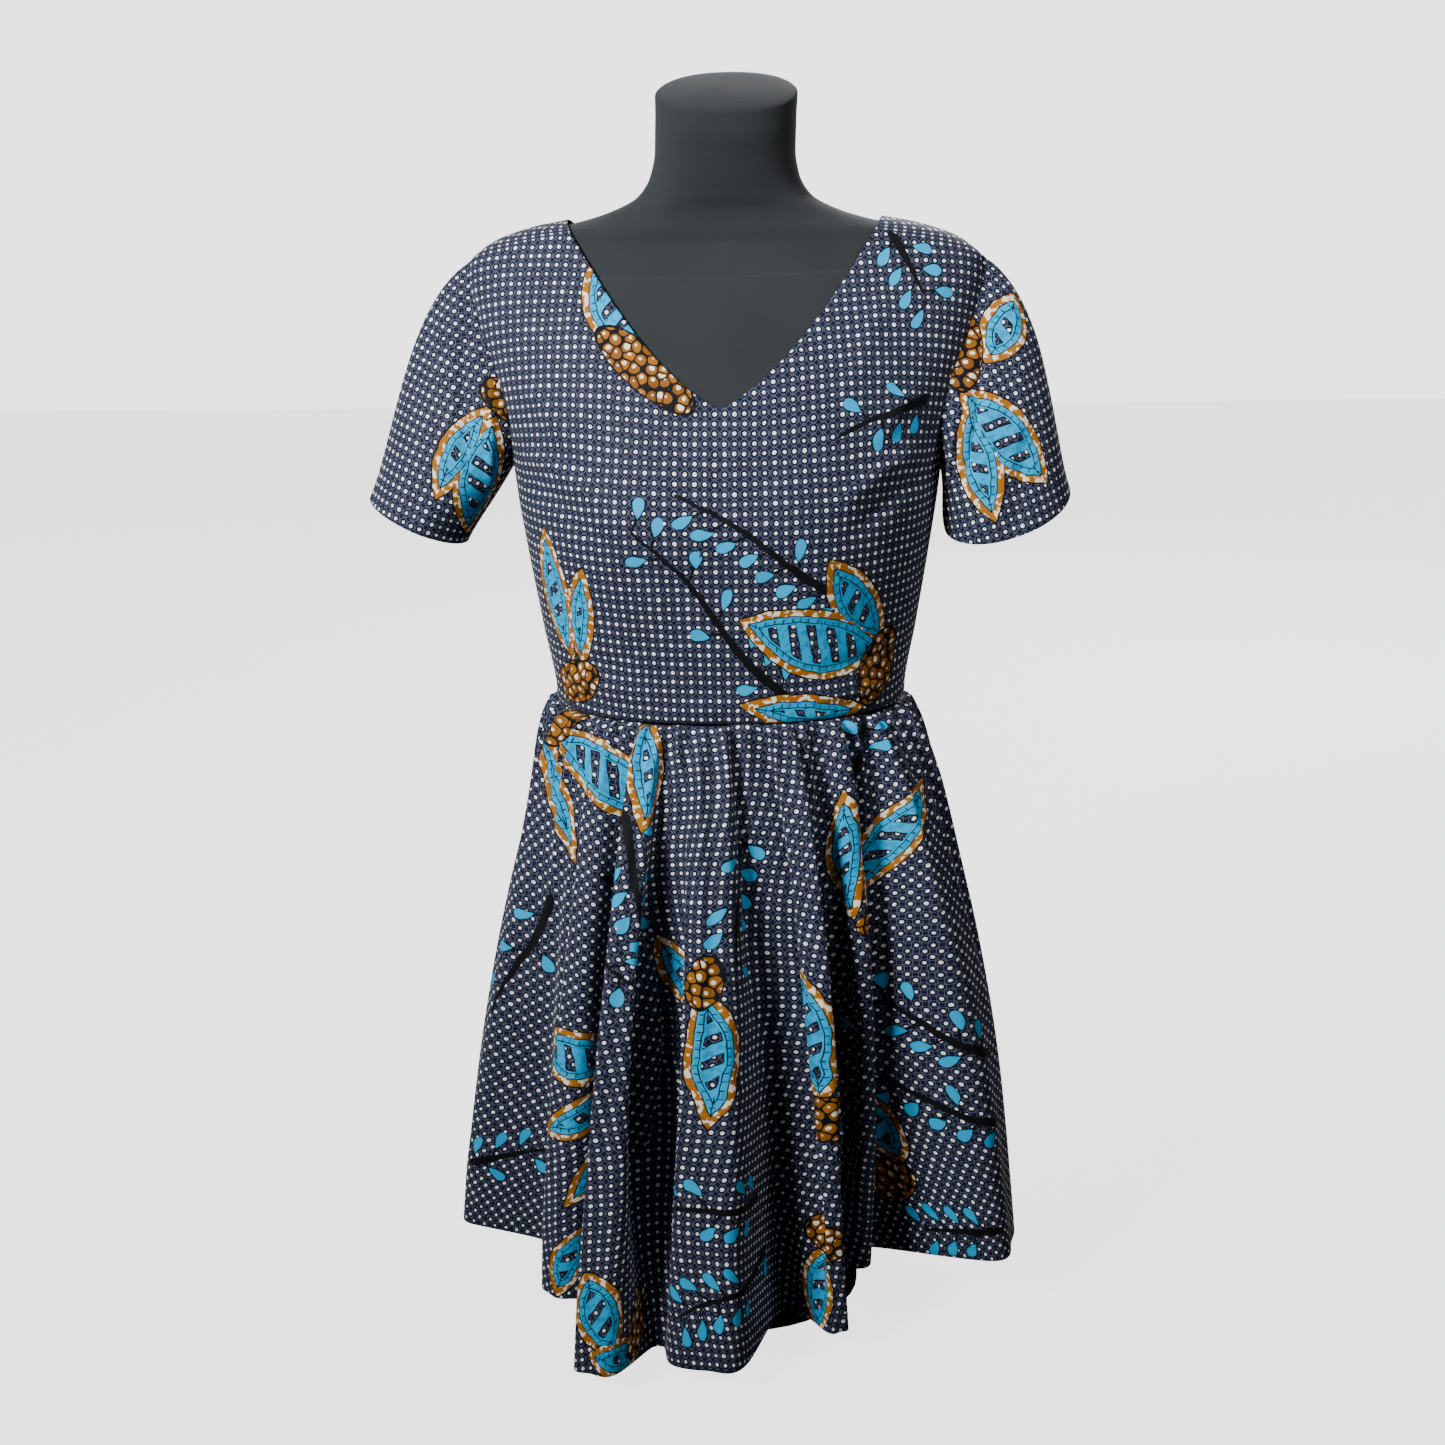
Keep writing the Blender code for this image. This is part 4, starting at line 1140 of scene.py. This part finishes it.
def makeForm(material):
    cut = formCut
    columns = cut["columns"]
    low = np.linspace(cut["bottom"] + cut["bottomRound"], cut["fineFrom"], cut["lowRows"])
    high = np.linspace(cut["fineFrom"], cut["neckTop"], cut["highRows"])[1:]
    heights = np.concatenate([low, high])[:, None]
    angle = (2 * math.pi * np.arange(columns) / columns)[None, :] + 0.0 * heights
    height = heights + 0.0 * angle
    rings = list(formPoint(angle, height))
    top = rings[-1]
    centre = np.mean(top, axis=0)
    tilt = math.radians(cut["capTilt"])
    up = np.array([0.0, -math.sin(tilt), math.cos(tilt)])
    # the rounded cap: shares of the top ring and how far they rise
    capRows = ((0.995, 0.0010), (0.975, 0.0020), (0.94, 0.0030), (0.88, 0.0040), (0.75, 0.0056),
               (0.60, 0.0067), (0.45, 0.0075), (0.30, 0.0080), (0.15, 0.0083), (0.05, 0.0084))
    for share, rise in capRows:
        rings.append(centre + (top - centre) * share + up * rise)
    share = cut["bottomShare"]
    bottom = rings[0] * np.array([share, share, 0.0]) + np.array([0.0, 0.0, cut["bottom"]])
    rings.insert(0, bottom)
    for share in (0.75, 0.5, 0.25, 0.05):
        rings.insert(0, bottom * np.array([share, share, 1.0]))
    rings = np.stack(rings)
    count = rings.shape[0]
    index = np.arange(count * columns).reshape(count, columns)
    index = np.concatenate([index, index[:, :1]], axis=1)
    points = rings.reshape(-1, 3) + [0.0, 0.0, waistHeight]
    faces = gridQuads(index, False).tolist()
    faces.append(list(reversed(range(columns))))
    faces.append(list(range((count - 1) * columns, count * columns)))
    return addMesh("formCover", points, faces, material)


# Materials
def hexColour(text):
    parts = [int(text[i:i + 2], 16) / 255.0 for i in (1, 3, 5)]
    linear = [c / 12.92 if c <= 0.04045 else ((c + 0.055) / 1.055) ** 2.4 for c in parts]
    return (*linear, 1.0)


class reading:
    # a number that changes over the cloth; signs and comparisons become math nodes
    def __init__(self, add, socket):
        self.add = add
        self.socket = socket

    def math(self, operation, *others, **settings):
        node = self.add("Math", [self, *others], operation=operation, **settings)
        return reading(self.add, node.outputs[0])

    def near(self, value, within):
        return self.math("COMPARE", value, within)

    def __rsub__(self, other):
        return self * -1.0 + other


mathSigns = {
    "add": "ADD", "sub": "SUBTRACT", "mul": "MULTIPLY", "truediv": "DIVIDE", "abs": "ABSOLUTE",
    "lt": "LESS_THAN", "gt": "GREATER_THAN", "and": "MULTIPLY", "or": "MAXIMUM",
}
for sign, operation in mathSigns.items():
    setattr(reading, "__" + sign + "__", partialmethod(reading.math, operation))


def addNode(tree, kind, feeds=(), **settings):
    # one node with its settings; feeds are numbers, hex colours, readings or sockets
    node = tree.nodes.new(kind if "Node" in kind else "ShaderNode" + kind)
    for name, value in settings.items():
        setattr(node, name, value)
    pairs = feeds.items() if isinstance(feeds, dict) else enumerate(feeds)
    for place, feed in pairs:
        if isinstance(feed, reading):
            feed = feed.socket
        if isinstance(feed, bpy.types.Node):
            feed = next(out for out in feed.outputs if out.enabled)
        if isinstance(feed, bpy.types.NodeSocket):
            tree.links.new(feed, node.inputs[place])
        else:
            node.inputs[place].default_value = hexColour(feed) if isinstance(feed, str) else feed
    return node


def blend(add, share, below, above):
    return add("Mix", {0: share, 6: below, 7: above}, data_type="RGBA")


def vector(add, operation, *feeds):
    return add("VectorMath", feeds, operation=operation)


def scaled(add, place, size):
    return add("VectorMath", {0: place, 3: size}, operation="SCALE")


def axes(add, place):
    return [reading(add, out) for out in add("SeparateXYZ", [place]).outputs]


def reach(add, *place):
    # how far a place lies from the middle, given whole or by its axes
    whole = add("CombineXYZ", place) if len(place) > 1 else place[0]
    return reading(add, vector(add, "LENGTH", whole).outputs["Value"])


def makeMaterial(name, draw):
    material = bpy.data.materials.new(name)
    material.use_nodes = True
    material.node_tree.nodes.clear()
    add = partial(addNode, material.node_tree)
    add("OutputMaterial", {"Surface": draw(add)})
    return material


# Wax print: everything is drawn from the flat pattern in millimetres
printDesign = {
    "navy": "#0B1024",
    "lines": "#5C627C",
    "white": "#F8F8FC",
    "ink": "#06070C",
    "turquoise": "#00A4DA",
    "turquoiseDeep": "#008FC0",
    "ochre": "#9E6212",
    "ochreDeep": "#75480E",
    "cream": "#F4E6CC",
    "pitch": 7.3,
    "dotRadius": 1.4,
    "ringRadius": 2.6,
    "lineOffset": 0.13,  # share of the pitch
    "lineWidth": 0.036,
    "leafBend": 0.0015,
    "leafRim": 5.2,
    "leafLine": 10.4,
    "veinWidth": 0.4,
    "tickPitch": 6.5,
    "tickLength": 1.6,
    "windowStart": 12.4,
    "windowPitch": 17.0,
    "windowShare": 0.44,
    "windowEdge": 0.035,
    "dropPitch": 18.5,
    "dropAside": 12.5,
    "dropScatter": 5.0,
    "dropLean": 0.62,
    "dropLength": 16.5,
    "dropWidth": 9.0,
    "dropsMissing": 0.30,
    "stalkWidth": 1.0,
    "stemStart": 4.2,
    "stemEnd": 0.9,
    "stemPoint": 7.0,
    "stemSway": 3.5,
    "stemBend": 24.0,
    "pebbleSize": 8.6,
    "highlight": 2.0,
    "wobble": 1.3,
}


def drawGround(add, place):
    # a square lattice of white dots in dark rings, between fine double diagonals
    design = printDesign
    cells = scaled(add, place, 1.0 / design["pitch"])
    centred = vector(add, "SUBTRACT", vector(add, "FRACTION", cells), (0.5, 0.5, 0.0))
    radius = reach(add, centred)
    whole = vector(add, "FLOOR", cells)
    uneven = reading(add, add("TexWhiteNoise", [whole], noise_dimensions="2D").outputs["Value"])
    share = design["dotRadius"] / design["pitch"]
    dot = radius < uneven * (0.3 * share) + 0.85 * share
    x, y, _ = axes(add, centred)
    rising, falling = (
        abs(abs(run) - 0.5).near(design["lineOffset"], design["lineWidth"]) for run in (x + y, x - y)
    )
    lines = (rising | falling) & (radius > design["ringRadius"] / design["pitch"])
    return blend(add, dot, blend(add, lines, design["navy"], design["lines"]), design["white"])


def motifFrame(add, kind, offset):
    # a motif's own axes in millimetres, whether it is here, its size and its seed
    local = add("Attribute", attribute_name=kind + "Place").outputs["Vector"]
    size = add("Attribute", attribute_name=kind + "Size").outputs["Vector"]
    strong = (2.0 * printDesign["wobble"], 2.0 * printDesign["wobble"], 0.0)
    x, y, _ = axes(add, vector(add, "MULTIPLY_ADD", offset, strong, scaled(add, local, 1000.0)))
    length, halfWidth, seed = axes(add, size)
    return axes(add, local)[2] > 0.5, x, y, length * 1000.0, halfWidth * 1000.0, seed.math("ROUND")


def drawBranch(add, offset, colour):
    # a dark tapering stem, pointed at both ends, with slanted stalks that each end in a drop
    design = printDesign
    here, x, y, length, _, seed = motifFrame(add, "branch", offset)
    y = (x / design["stemBend"]).math("SINE") * design["stemSway"] + y
    side = abs(y)
    half = length * 0.5
    width = (x / length + 0.5) * (design["stemEnd"] - design["stemStart"]) + design["stemStart"]
    room = (half - abs(x)).math("MULTIPLY", 1.0 / design["stemPoint"], use_clamp=True)
    stem = side < width * room

    pitch, lean = design["dropPitch"], design["dropLean"]
    sign = y.math("SIGN")
    run = (sign * (0.25 * pitch) + (x - side * lean)) / pitch
    number = run.math("FLOOR")
    cell = run.math("FRACT") * pitch - 0.5 * pitch
    noise = add("TexWhiteNoise", [add("CombineXYZ", [number, sign, seed])], noise_dimensions="3D")
    chance = reading(add, noise.outputs["Value"])
    kept = (abs(number * pitch + 0.5 * pitch) - half < -2.0) & (chance > design["dropsMissing"])

    out = side - (chance * design["dropScatter"] + design["dropAside"])
    spot = add("CombineXYZ", [out * lean + cell, out])
    turn = chance * 0.6 - (math.atan(1.0 / lean) + 0.3)
    turned = add("VectorRotate", {"Vector": spot, "Angle": turn}, rotation_type="Z_AXIS")
    along, across, _ = axes(add, turned)
    t = along.math("MULTIPLY_ADD", 1.0 / design["dropLength"], 0.5, use_clamp=True)
    # the drop is widest two thirds of the way along
    depth = t * (1.0 - t).math("SQRT") * (1.3 * design["dropWidth"]) - abs(across)
    drop = kept & (abs(along) < 0.53 * design["dropLength"])
    stalk = kept & (abs(cell) < design["stalkWidth"]) & (out < -0.3 * design["dropLength"])
    painted = blend(add, stem | stalk, colour, design["ink"])
    for start, layer in ((-0.7, "ink"), (0.3, "turquoise")):
        painted = blend(add, (depth > start) & drop, painted, design[layer])
    return blend(add, here, colour, painted)


def drawLeaf(add, offset, mottle, ground, colour):
    # a pointed leaf between two arcs, in layers by the distance inside its edge
    design = printDesign
    here, x, y, length, halfWidth, _ = motifFrame(add, "leaf", offset)
    y = y + (x * x * design["leafBend"] - 2.0)
    side = abs(y)
    radius = (halfWidth * halfWidth + length * length * 0.25) / (halfWidth * 2.0)
    depth = radius - reach(add, x, side + radius - halfWidth)

    # the inner leaf: a line with ticks, veins at the ends and slanted windows of the ground
    start, line = design["windowStart"], design["leafLine"]
    share, edge = design["windowShare"], design["windowEdge"]
    bands = ((y * 0.5 + x) / design["windowPitch"]).math("FRACT")
    clear = bands < share
    ticks = (x / design["tickPitch"]).math("FRACT") < 0.12
    drawn = depth.near(line, 0.4) | (ticks & depth.near(line - design["tickLength"], design["tickLength"]))
    drawn = drawn | ((side < design["veinWidth"]) & (depth < start))
    drawn = drawn | ((bands.near(share, edge) | (bands < edge)) & (depth > start))
    drawn = drawn | (depth.near(start, 0.35) & clear)
    fill = blend(add, mottle, design["turquoise"], design["turquoiseDeep"])
    fill = blend(add, clear & (depth > start), fill, ground)
    fill = blend(add, drawn, fill, design["ink"])
    border = blend(add, mottle, design["ochre"], design["cream"])
    rim, ink = design["leafRim"], design["ink"]
    painted = colour
    for start, layer in ((-0.9, ink), (0.2, border), (rim, ink), (rim + 0.8, fill)):
        painted = blend(add, depth > start, painted, layer)
    return blend(add, here, colour, painted)


def drawPebbles(add, offset, colour):
    # rounded ochre pebbles with a pale side, packed inside an oval of ink
    design = printDesign
    here, x, y, length, halfWidth, _ = motifFrame(add, "pebbles", offset)
    far = reach(add, x / (length * 0.5), y / halfWidth)
    place = add("CombineXYZ", [x, y])
    feeds = {"Vector": place, "Scale": 1.0 / design["pebbleSize"], "Randomness": 0.65}
    edge = add("TexVoronoi", feeds, voronoi_dimensions="2D", feature="DISTANCE_TO_EDGE")
    cell = add("TexVoronoi", feeds, voronoi_dimensions="2D", feature="F1")
    stone = (reading(add, edge.outputs["Distance"]) > 0.08) & (far < 0.93)
    stone = stone & (reading(add, cell.outputs["Distance"]) < 0.50)
    glint, tone, _ = axes(add, cell.outputs["Color"])
    away = vector(add, "SUBTRACT", place, cell.outputs["Position"])
    away = vector(add, "ADD", away, (0.9, -0.9, 0.0))
    pale = reach(add, away) < glint * design["highlight"] + 0.5
    ochre = blend(add, tone, design["ochre"], design["ochreDeep"])
    painted = blend(add, far < 1.0, colour, design["ink"])
    painted = blend(add, stone, painted, blend(add, pale, ochre, design["cream"]))
    return blend(add, here, colour, painted)


def drawCotton(add):
    # wax-printed cotton: plain weave, smooth and softly matt, with hand-drawn looking lines
    flat = add("UVMap", uv_map="cloth")
    place = scaled(add, flat, 1000.0)
    noise = add("TexNoise", {"Vector": place, "Scale": 0.085, "Detail": 1.0}, noise_dimensions="2D")
    offset = vector(add, "SUBTRACT", noise.outputs["Color"], (0.5, 0.5, 0.5))
    wobble = (printDesign["wobble"], printDesign["wobble"], 0.0)
    place = vector(add, "MULTIPLY_ADD", offset, wobble, place)
    ground = drawGround(add, place)
    blots = add("TexNoise", {"Vector": place, "Scale": 0.19, "Detail": 1.5}, noise_dimensions="2D")
    mottle = add("MapRange", {"Value": blots, "From Min": 0.53, "From Max": 0.59})
    colour = drawBranch(add, offset, ground)
    colour = drawLeaf(add, offset, mottle, ground, colour)
    colour = drawPebbles(add, offset, colour)
    # threads are drawn 1 mm apart, about twice their real spacing, so that they show
    threads = [(way * (2 * math.pi / 0.001)).math("SINE") for way in axes(add, flat)[:2]]
    feeds = {"Vector": place, "Scale": 0.045, "Detail": 4.0, "Roughness": 0.6}
    height = threads[0] * threads[1] * 0.06 + add("TexNoise", feeds, noise_dimensions="2D")
    return add("BsdfPrincipled", {
        "Base Color": colour, "Roughness": 0.68, "Sheen Weight": 0.04, "Sheen Roughness": 0.5,
        "Specular IOR Level": 0.14,
        "Normal": add("Bump", {"Strength": 0.35, "Distance": 0.0016, "Height": height}),
    })


def drawJersey(add):
    # cotton jersey drawn over padding: dull, nearly black, with the fine ribs of its knit
    place = add("TexCoord").outputs["Object"]
    x, y, z = axes(add, place)
    # ribs and courses are drawn about 2.4 mm apart, three times their real spacing
    ribs = (x.math("ARCTAN2", y) * 330.0).math("SINE")
    courses = (z * (2 * math.pi / 0.0024)).math("SINE")
    slack = add("TexNoise", {"Vector": place, "Scale": 14.0, "Detail": 3.0})
    lint = add("TexNoise", {"Vector": place, "Scale": 900.0, "Detail": 3.0})
    specks = add("MapRange", {"Value": lint, "From Min": 0.62, "From Max": 0.75, "To Max": 0.25})
    height = (courses * 0.5 + ribs) * 0.12 + slack
    return add("BsdfPrincipled", {
        "Base Color": blend(add, specks, blend(add, slack, "#1D2124", "#262B2E"), "#3A4044"),
        "Roughness": 0.9, "Specular IOR Level": 0.25, "Sheen Weight": 0.08, "Sheen Roughness": 0.6,
        "Normal": add("Bump", {"Strength": 0.3, "Distance": 0.001, "Height": height}),
    })


def drawSteel(add):
    # powder-coated steel: an even charcoal skin with a fine orange-peel
    place = add("TexCoord").outputs["Object"]
    peel = add("TexNoise", {"Vector": place, "Scale": 650.0, "Detail": 2.0})
    dust = add("TexNoise", {"Vector": place, "Scale": 30.0, "Detail": 4.0})
    return add("BsdfPrincipled", {
        "Base Color": blend(add, dust, "#1B1D1F", "#26292B"),
        "Roughness": add("MapRange", {"Value": dust, "To Min": 0.38, "To Max": 0.55}),
        "Normal": add("Bump", {"Strength": 0.25, "Distance": 0.0004, "Height": peel}),
    })


def drawThread(add):
    # spun polyester thread: navy, a little glossy along its twist
    place = add("TexCoord").outputs["Object"]
    twist = add("TexNoise", {"Vector": place, "Scale": 1500.0, "Detail": 1.0})
    colour = blend(add, twist, "#12172A", "#27304A")
    return add("BsdfPrincipled", {"Base Color": colour, "Roughness": 0.5, "Specular IOR Level": 0.4})


# The floor and the backdrop look pale but throw little light up into the folds
studio = {
    "floorGlow": 2.3,
    "floorBounce": 0.07,
    "backdropSeen": 2.9,
    "backdropLight": 0.045,
}
whiteLight = (1.0, 1.0, 1.0, 1.0)


def drawPaper(add):
    # a roll of matt studio paper
    glow = add("Emission", [whiteLight, studio["floorGlow"]])
    seen = add("AddShader", [add("BsdfDiffuse", ["#C9C9C7"]), glow])
    given = add("BsdfDiffuse", [(*[studio["floorBounce"]] * 3, 1.0)])
    return add("MixShader", [add("LightPath").outputs["Is Camera Ray"], given, seen])


cotton = makeMaterial("waxPrintedCotton", drawCotton)
jersey = makeMaterial("formJersey", drawJersey)
steel = makeMaterial("powderCoatedSteel", drawSteel)
thread = makeMaterial("polyesterThread", drawThread)
paper = makeMaterial("paperFloor", drawPaper)


# Stitches: one spindle of thread at each step along the kept lines
def stitchTree():
    tree = bpy.data.node_groups.new("stitches", "GeometryNodeTree")
    add = partial(addNode, tree)
    sockets = (
        ("Line", "Geometry"), ("Pitch", "Float"), ("Length", "Float"), ("Thickness", "Float"),
        ("Thread", "Material"),
    )
    for name, kind in sockets:
        tree.interface.new_socket(name, in_out="INPUT", socket_type="NodeSocket" + kind)
    tree.interface.new_socket("Stitches", in_out="OUTPUT", socket_type="NodeSocketGeometry")
    given = add("NodeGroupInput").outputs
    curve = add("GeometryNodeMeshToCurve", {"Mesh": given["Line"]})
    feeds = {"Curve": curve, "Length": given["Pitch"]}
    steps = add("GeometryNodeResampleCurve", feeds, mode="LENGTH")
    tangent = add("GeometryNodeInputTangent")
    turn = add("FunctionNodeAlignRotationToVector", {"Vector": tangent}, axis="X")
    size = add("CombineXYZ", [given["Length"], given["Thickness"], given["Thickness"]])
    spindle = add("GeometryNodeMeshUVSphere", {"Segments": 6, "Rings": 5, "Radius": 0.5})
    smooth = add("GeometryNodeSetShadeSmooth", {"Geometry": spindle.outputs["Mesh"]})
    feeds = {"Points": steps, "Instance": smooth, "Rotation": turn, "Scale": size}
    placed = add("GeometryNodeInstanceOnPoints", feeds)
    real = add("GeometryNodeRealizeInstances", {"Geometry": placed})
    coated = add("GeometryNodeSetMaterial", {"Geometry": real, "Material": given["Thread"]})
    add("NodeGroupOutput", {"Stitches": coated})
    return tree


def makeStitches(name, lines):
    points, edges = [], []
    for line, closed in lines:
        first = len(points)
        points += (line + [0.0, 0.0, waistHeight]).tolist()
        edges += [(first + k, first + k + 1) for k in range(len(line) - 1)]
        if closed:
            edges.append((first + len(line) - 1, first))
    mesh = bpy.data.meshes.new(name + "Line")
    mesh.from_pydata(points, edges, [])
    item = addObject(name, mesh)
    modifier = item.modifiers.new("stitches", "NODES")
    modifier.node_group = stitchTree()
    values = {"Thread": thread}
    for key in ("pitch", "length", "thickness"):
        values[key.capitalize()] = stitchMake[key]
    for socket in modifier.node_group.interface.items_tree:
        if socket.name in values:
            modifier[socket.identifier] = values[socket.name]
    seen = item.evaluated_get(bpy.context.evaluated_depsgraph_get())
    plain = bpy.data.meshes.new_from_object(seen)
    item.modifiers.clear()
    item.data = plain
    return item


# Build and declare
sheets = [
    (makeBodiceFront(cotton), "bodice_front"),
    (makeBodiceBack("bodiceBackLeft", -1, cotton), "bodice_back_left"),
    (makeBodiceBack("bodiceBackRight", 1, cotton), "bodice_back_right"),
    (makeSleeve("sleeveLeft", cotton), "sleeve_left"),
    (makeSleeve("sleeveRight", cotton), "sleeve_right"),
]
print("bodice and sleeves made")
sheets += zip(makeSkirt(cotton), ("skirt_front", "skirt_back"))
print("skirt made")
stitches = makeStitches("hemStitches", stitchLines)
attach(stitches, "root")
print("stitches made", len(stitches.data.polygons))
form = makeForm(jersey)
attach(form, "root")
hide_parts("dress_form")
for (piece, size, area), node in sheets:
    print(piece.name, "flat", [round(v, 4) for v in size], "area", round(area, 4))
    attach(piece, "root")
    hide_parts(node)
for name in ("stand_base", "stand_pole"):
    bpy.data.objects[name].material_slots[0].material = steel


# Studio
def makeFloor(half):
    mesh = bpy.data.meshes.new("floor")
    corners = [(-half, -half, 0), (half, -half, 0), (half, half, 0), (-half, half, 0)]
    mesh.from_pydata(corners, [], [(0, 1, 2, 3)])
    mesh.materials.append(paper)
    floor = addObject("floor", mesh)


def makeLight(name, place, aim, size, power, spread=180.0):
    data = bpy.data.lights.new(name, "AREA")
    data.spread = math.radians(spread)
    data.shape = "RECTANGLE"
    data.size, data.size_y = size
    data.energy = power
    light = addObject(name, data)
    light.location = place
    light.rotation_mode = "QUATERNION"
    light.rotation_quaternion = (Vector(aim) - Vector(place)).to_track_quat("-Z", "Y")


def makeWorld():
    world = bpy.data.worlds.new("studio")
    world.use_nodes = True
    world.node_tree.nodes.clear()
    add = partial(addNode, world.node_tree)
    lit = add("Background", [whiteLight, studio["backdropLight"]])
    seen = add("Background", [whiteLight, studio["backdropSeen"]])
    mixed = add("MixShader", [add("LightPath").outputs["Is Camera Ray"], lit, seen])
    add("OutputWorld", {"Surface": mixed})
    bpy.context.scene.world = world


makeFloor(6)
# place, aim, size, power and spread; the narrow key light keeps the skirt darker than the bodice
makeLight("keyLight", (-1.75, -2.35, 2.2), (0.02, 0.0, 0.90), (0.8, 0.8), 15.0, 44.0)
makeLight("sideLight", (1.9, -0.9, 2.6), (0.15, 0.0, 0.95), (0.8, 0.8), 2.0, 40.0)
makeLight("farSideLight", (-2.6, 0.4, 1.2), (0.0, 0.0, 0.5), (1.2, 1.6), 8.0)
makeLight("backLight", (0.8, 2.8, 2.0), (0.0, 0.0, 0.5), (1.6, 1.6), 60.0)
makeWorld()
print("studio made")
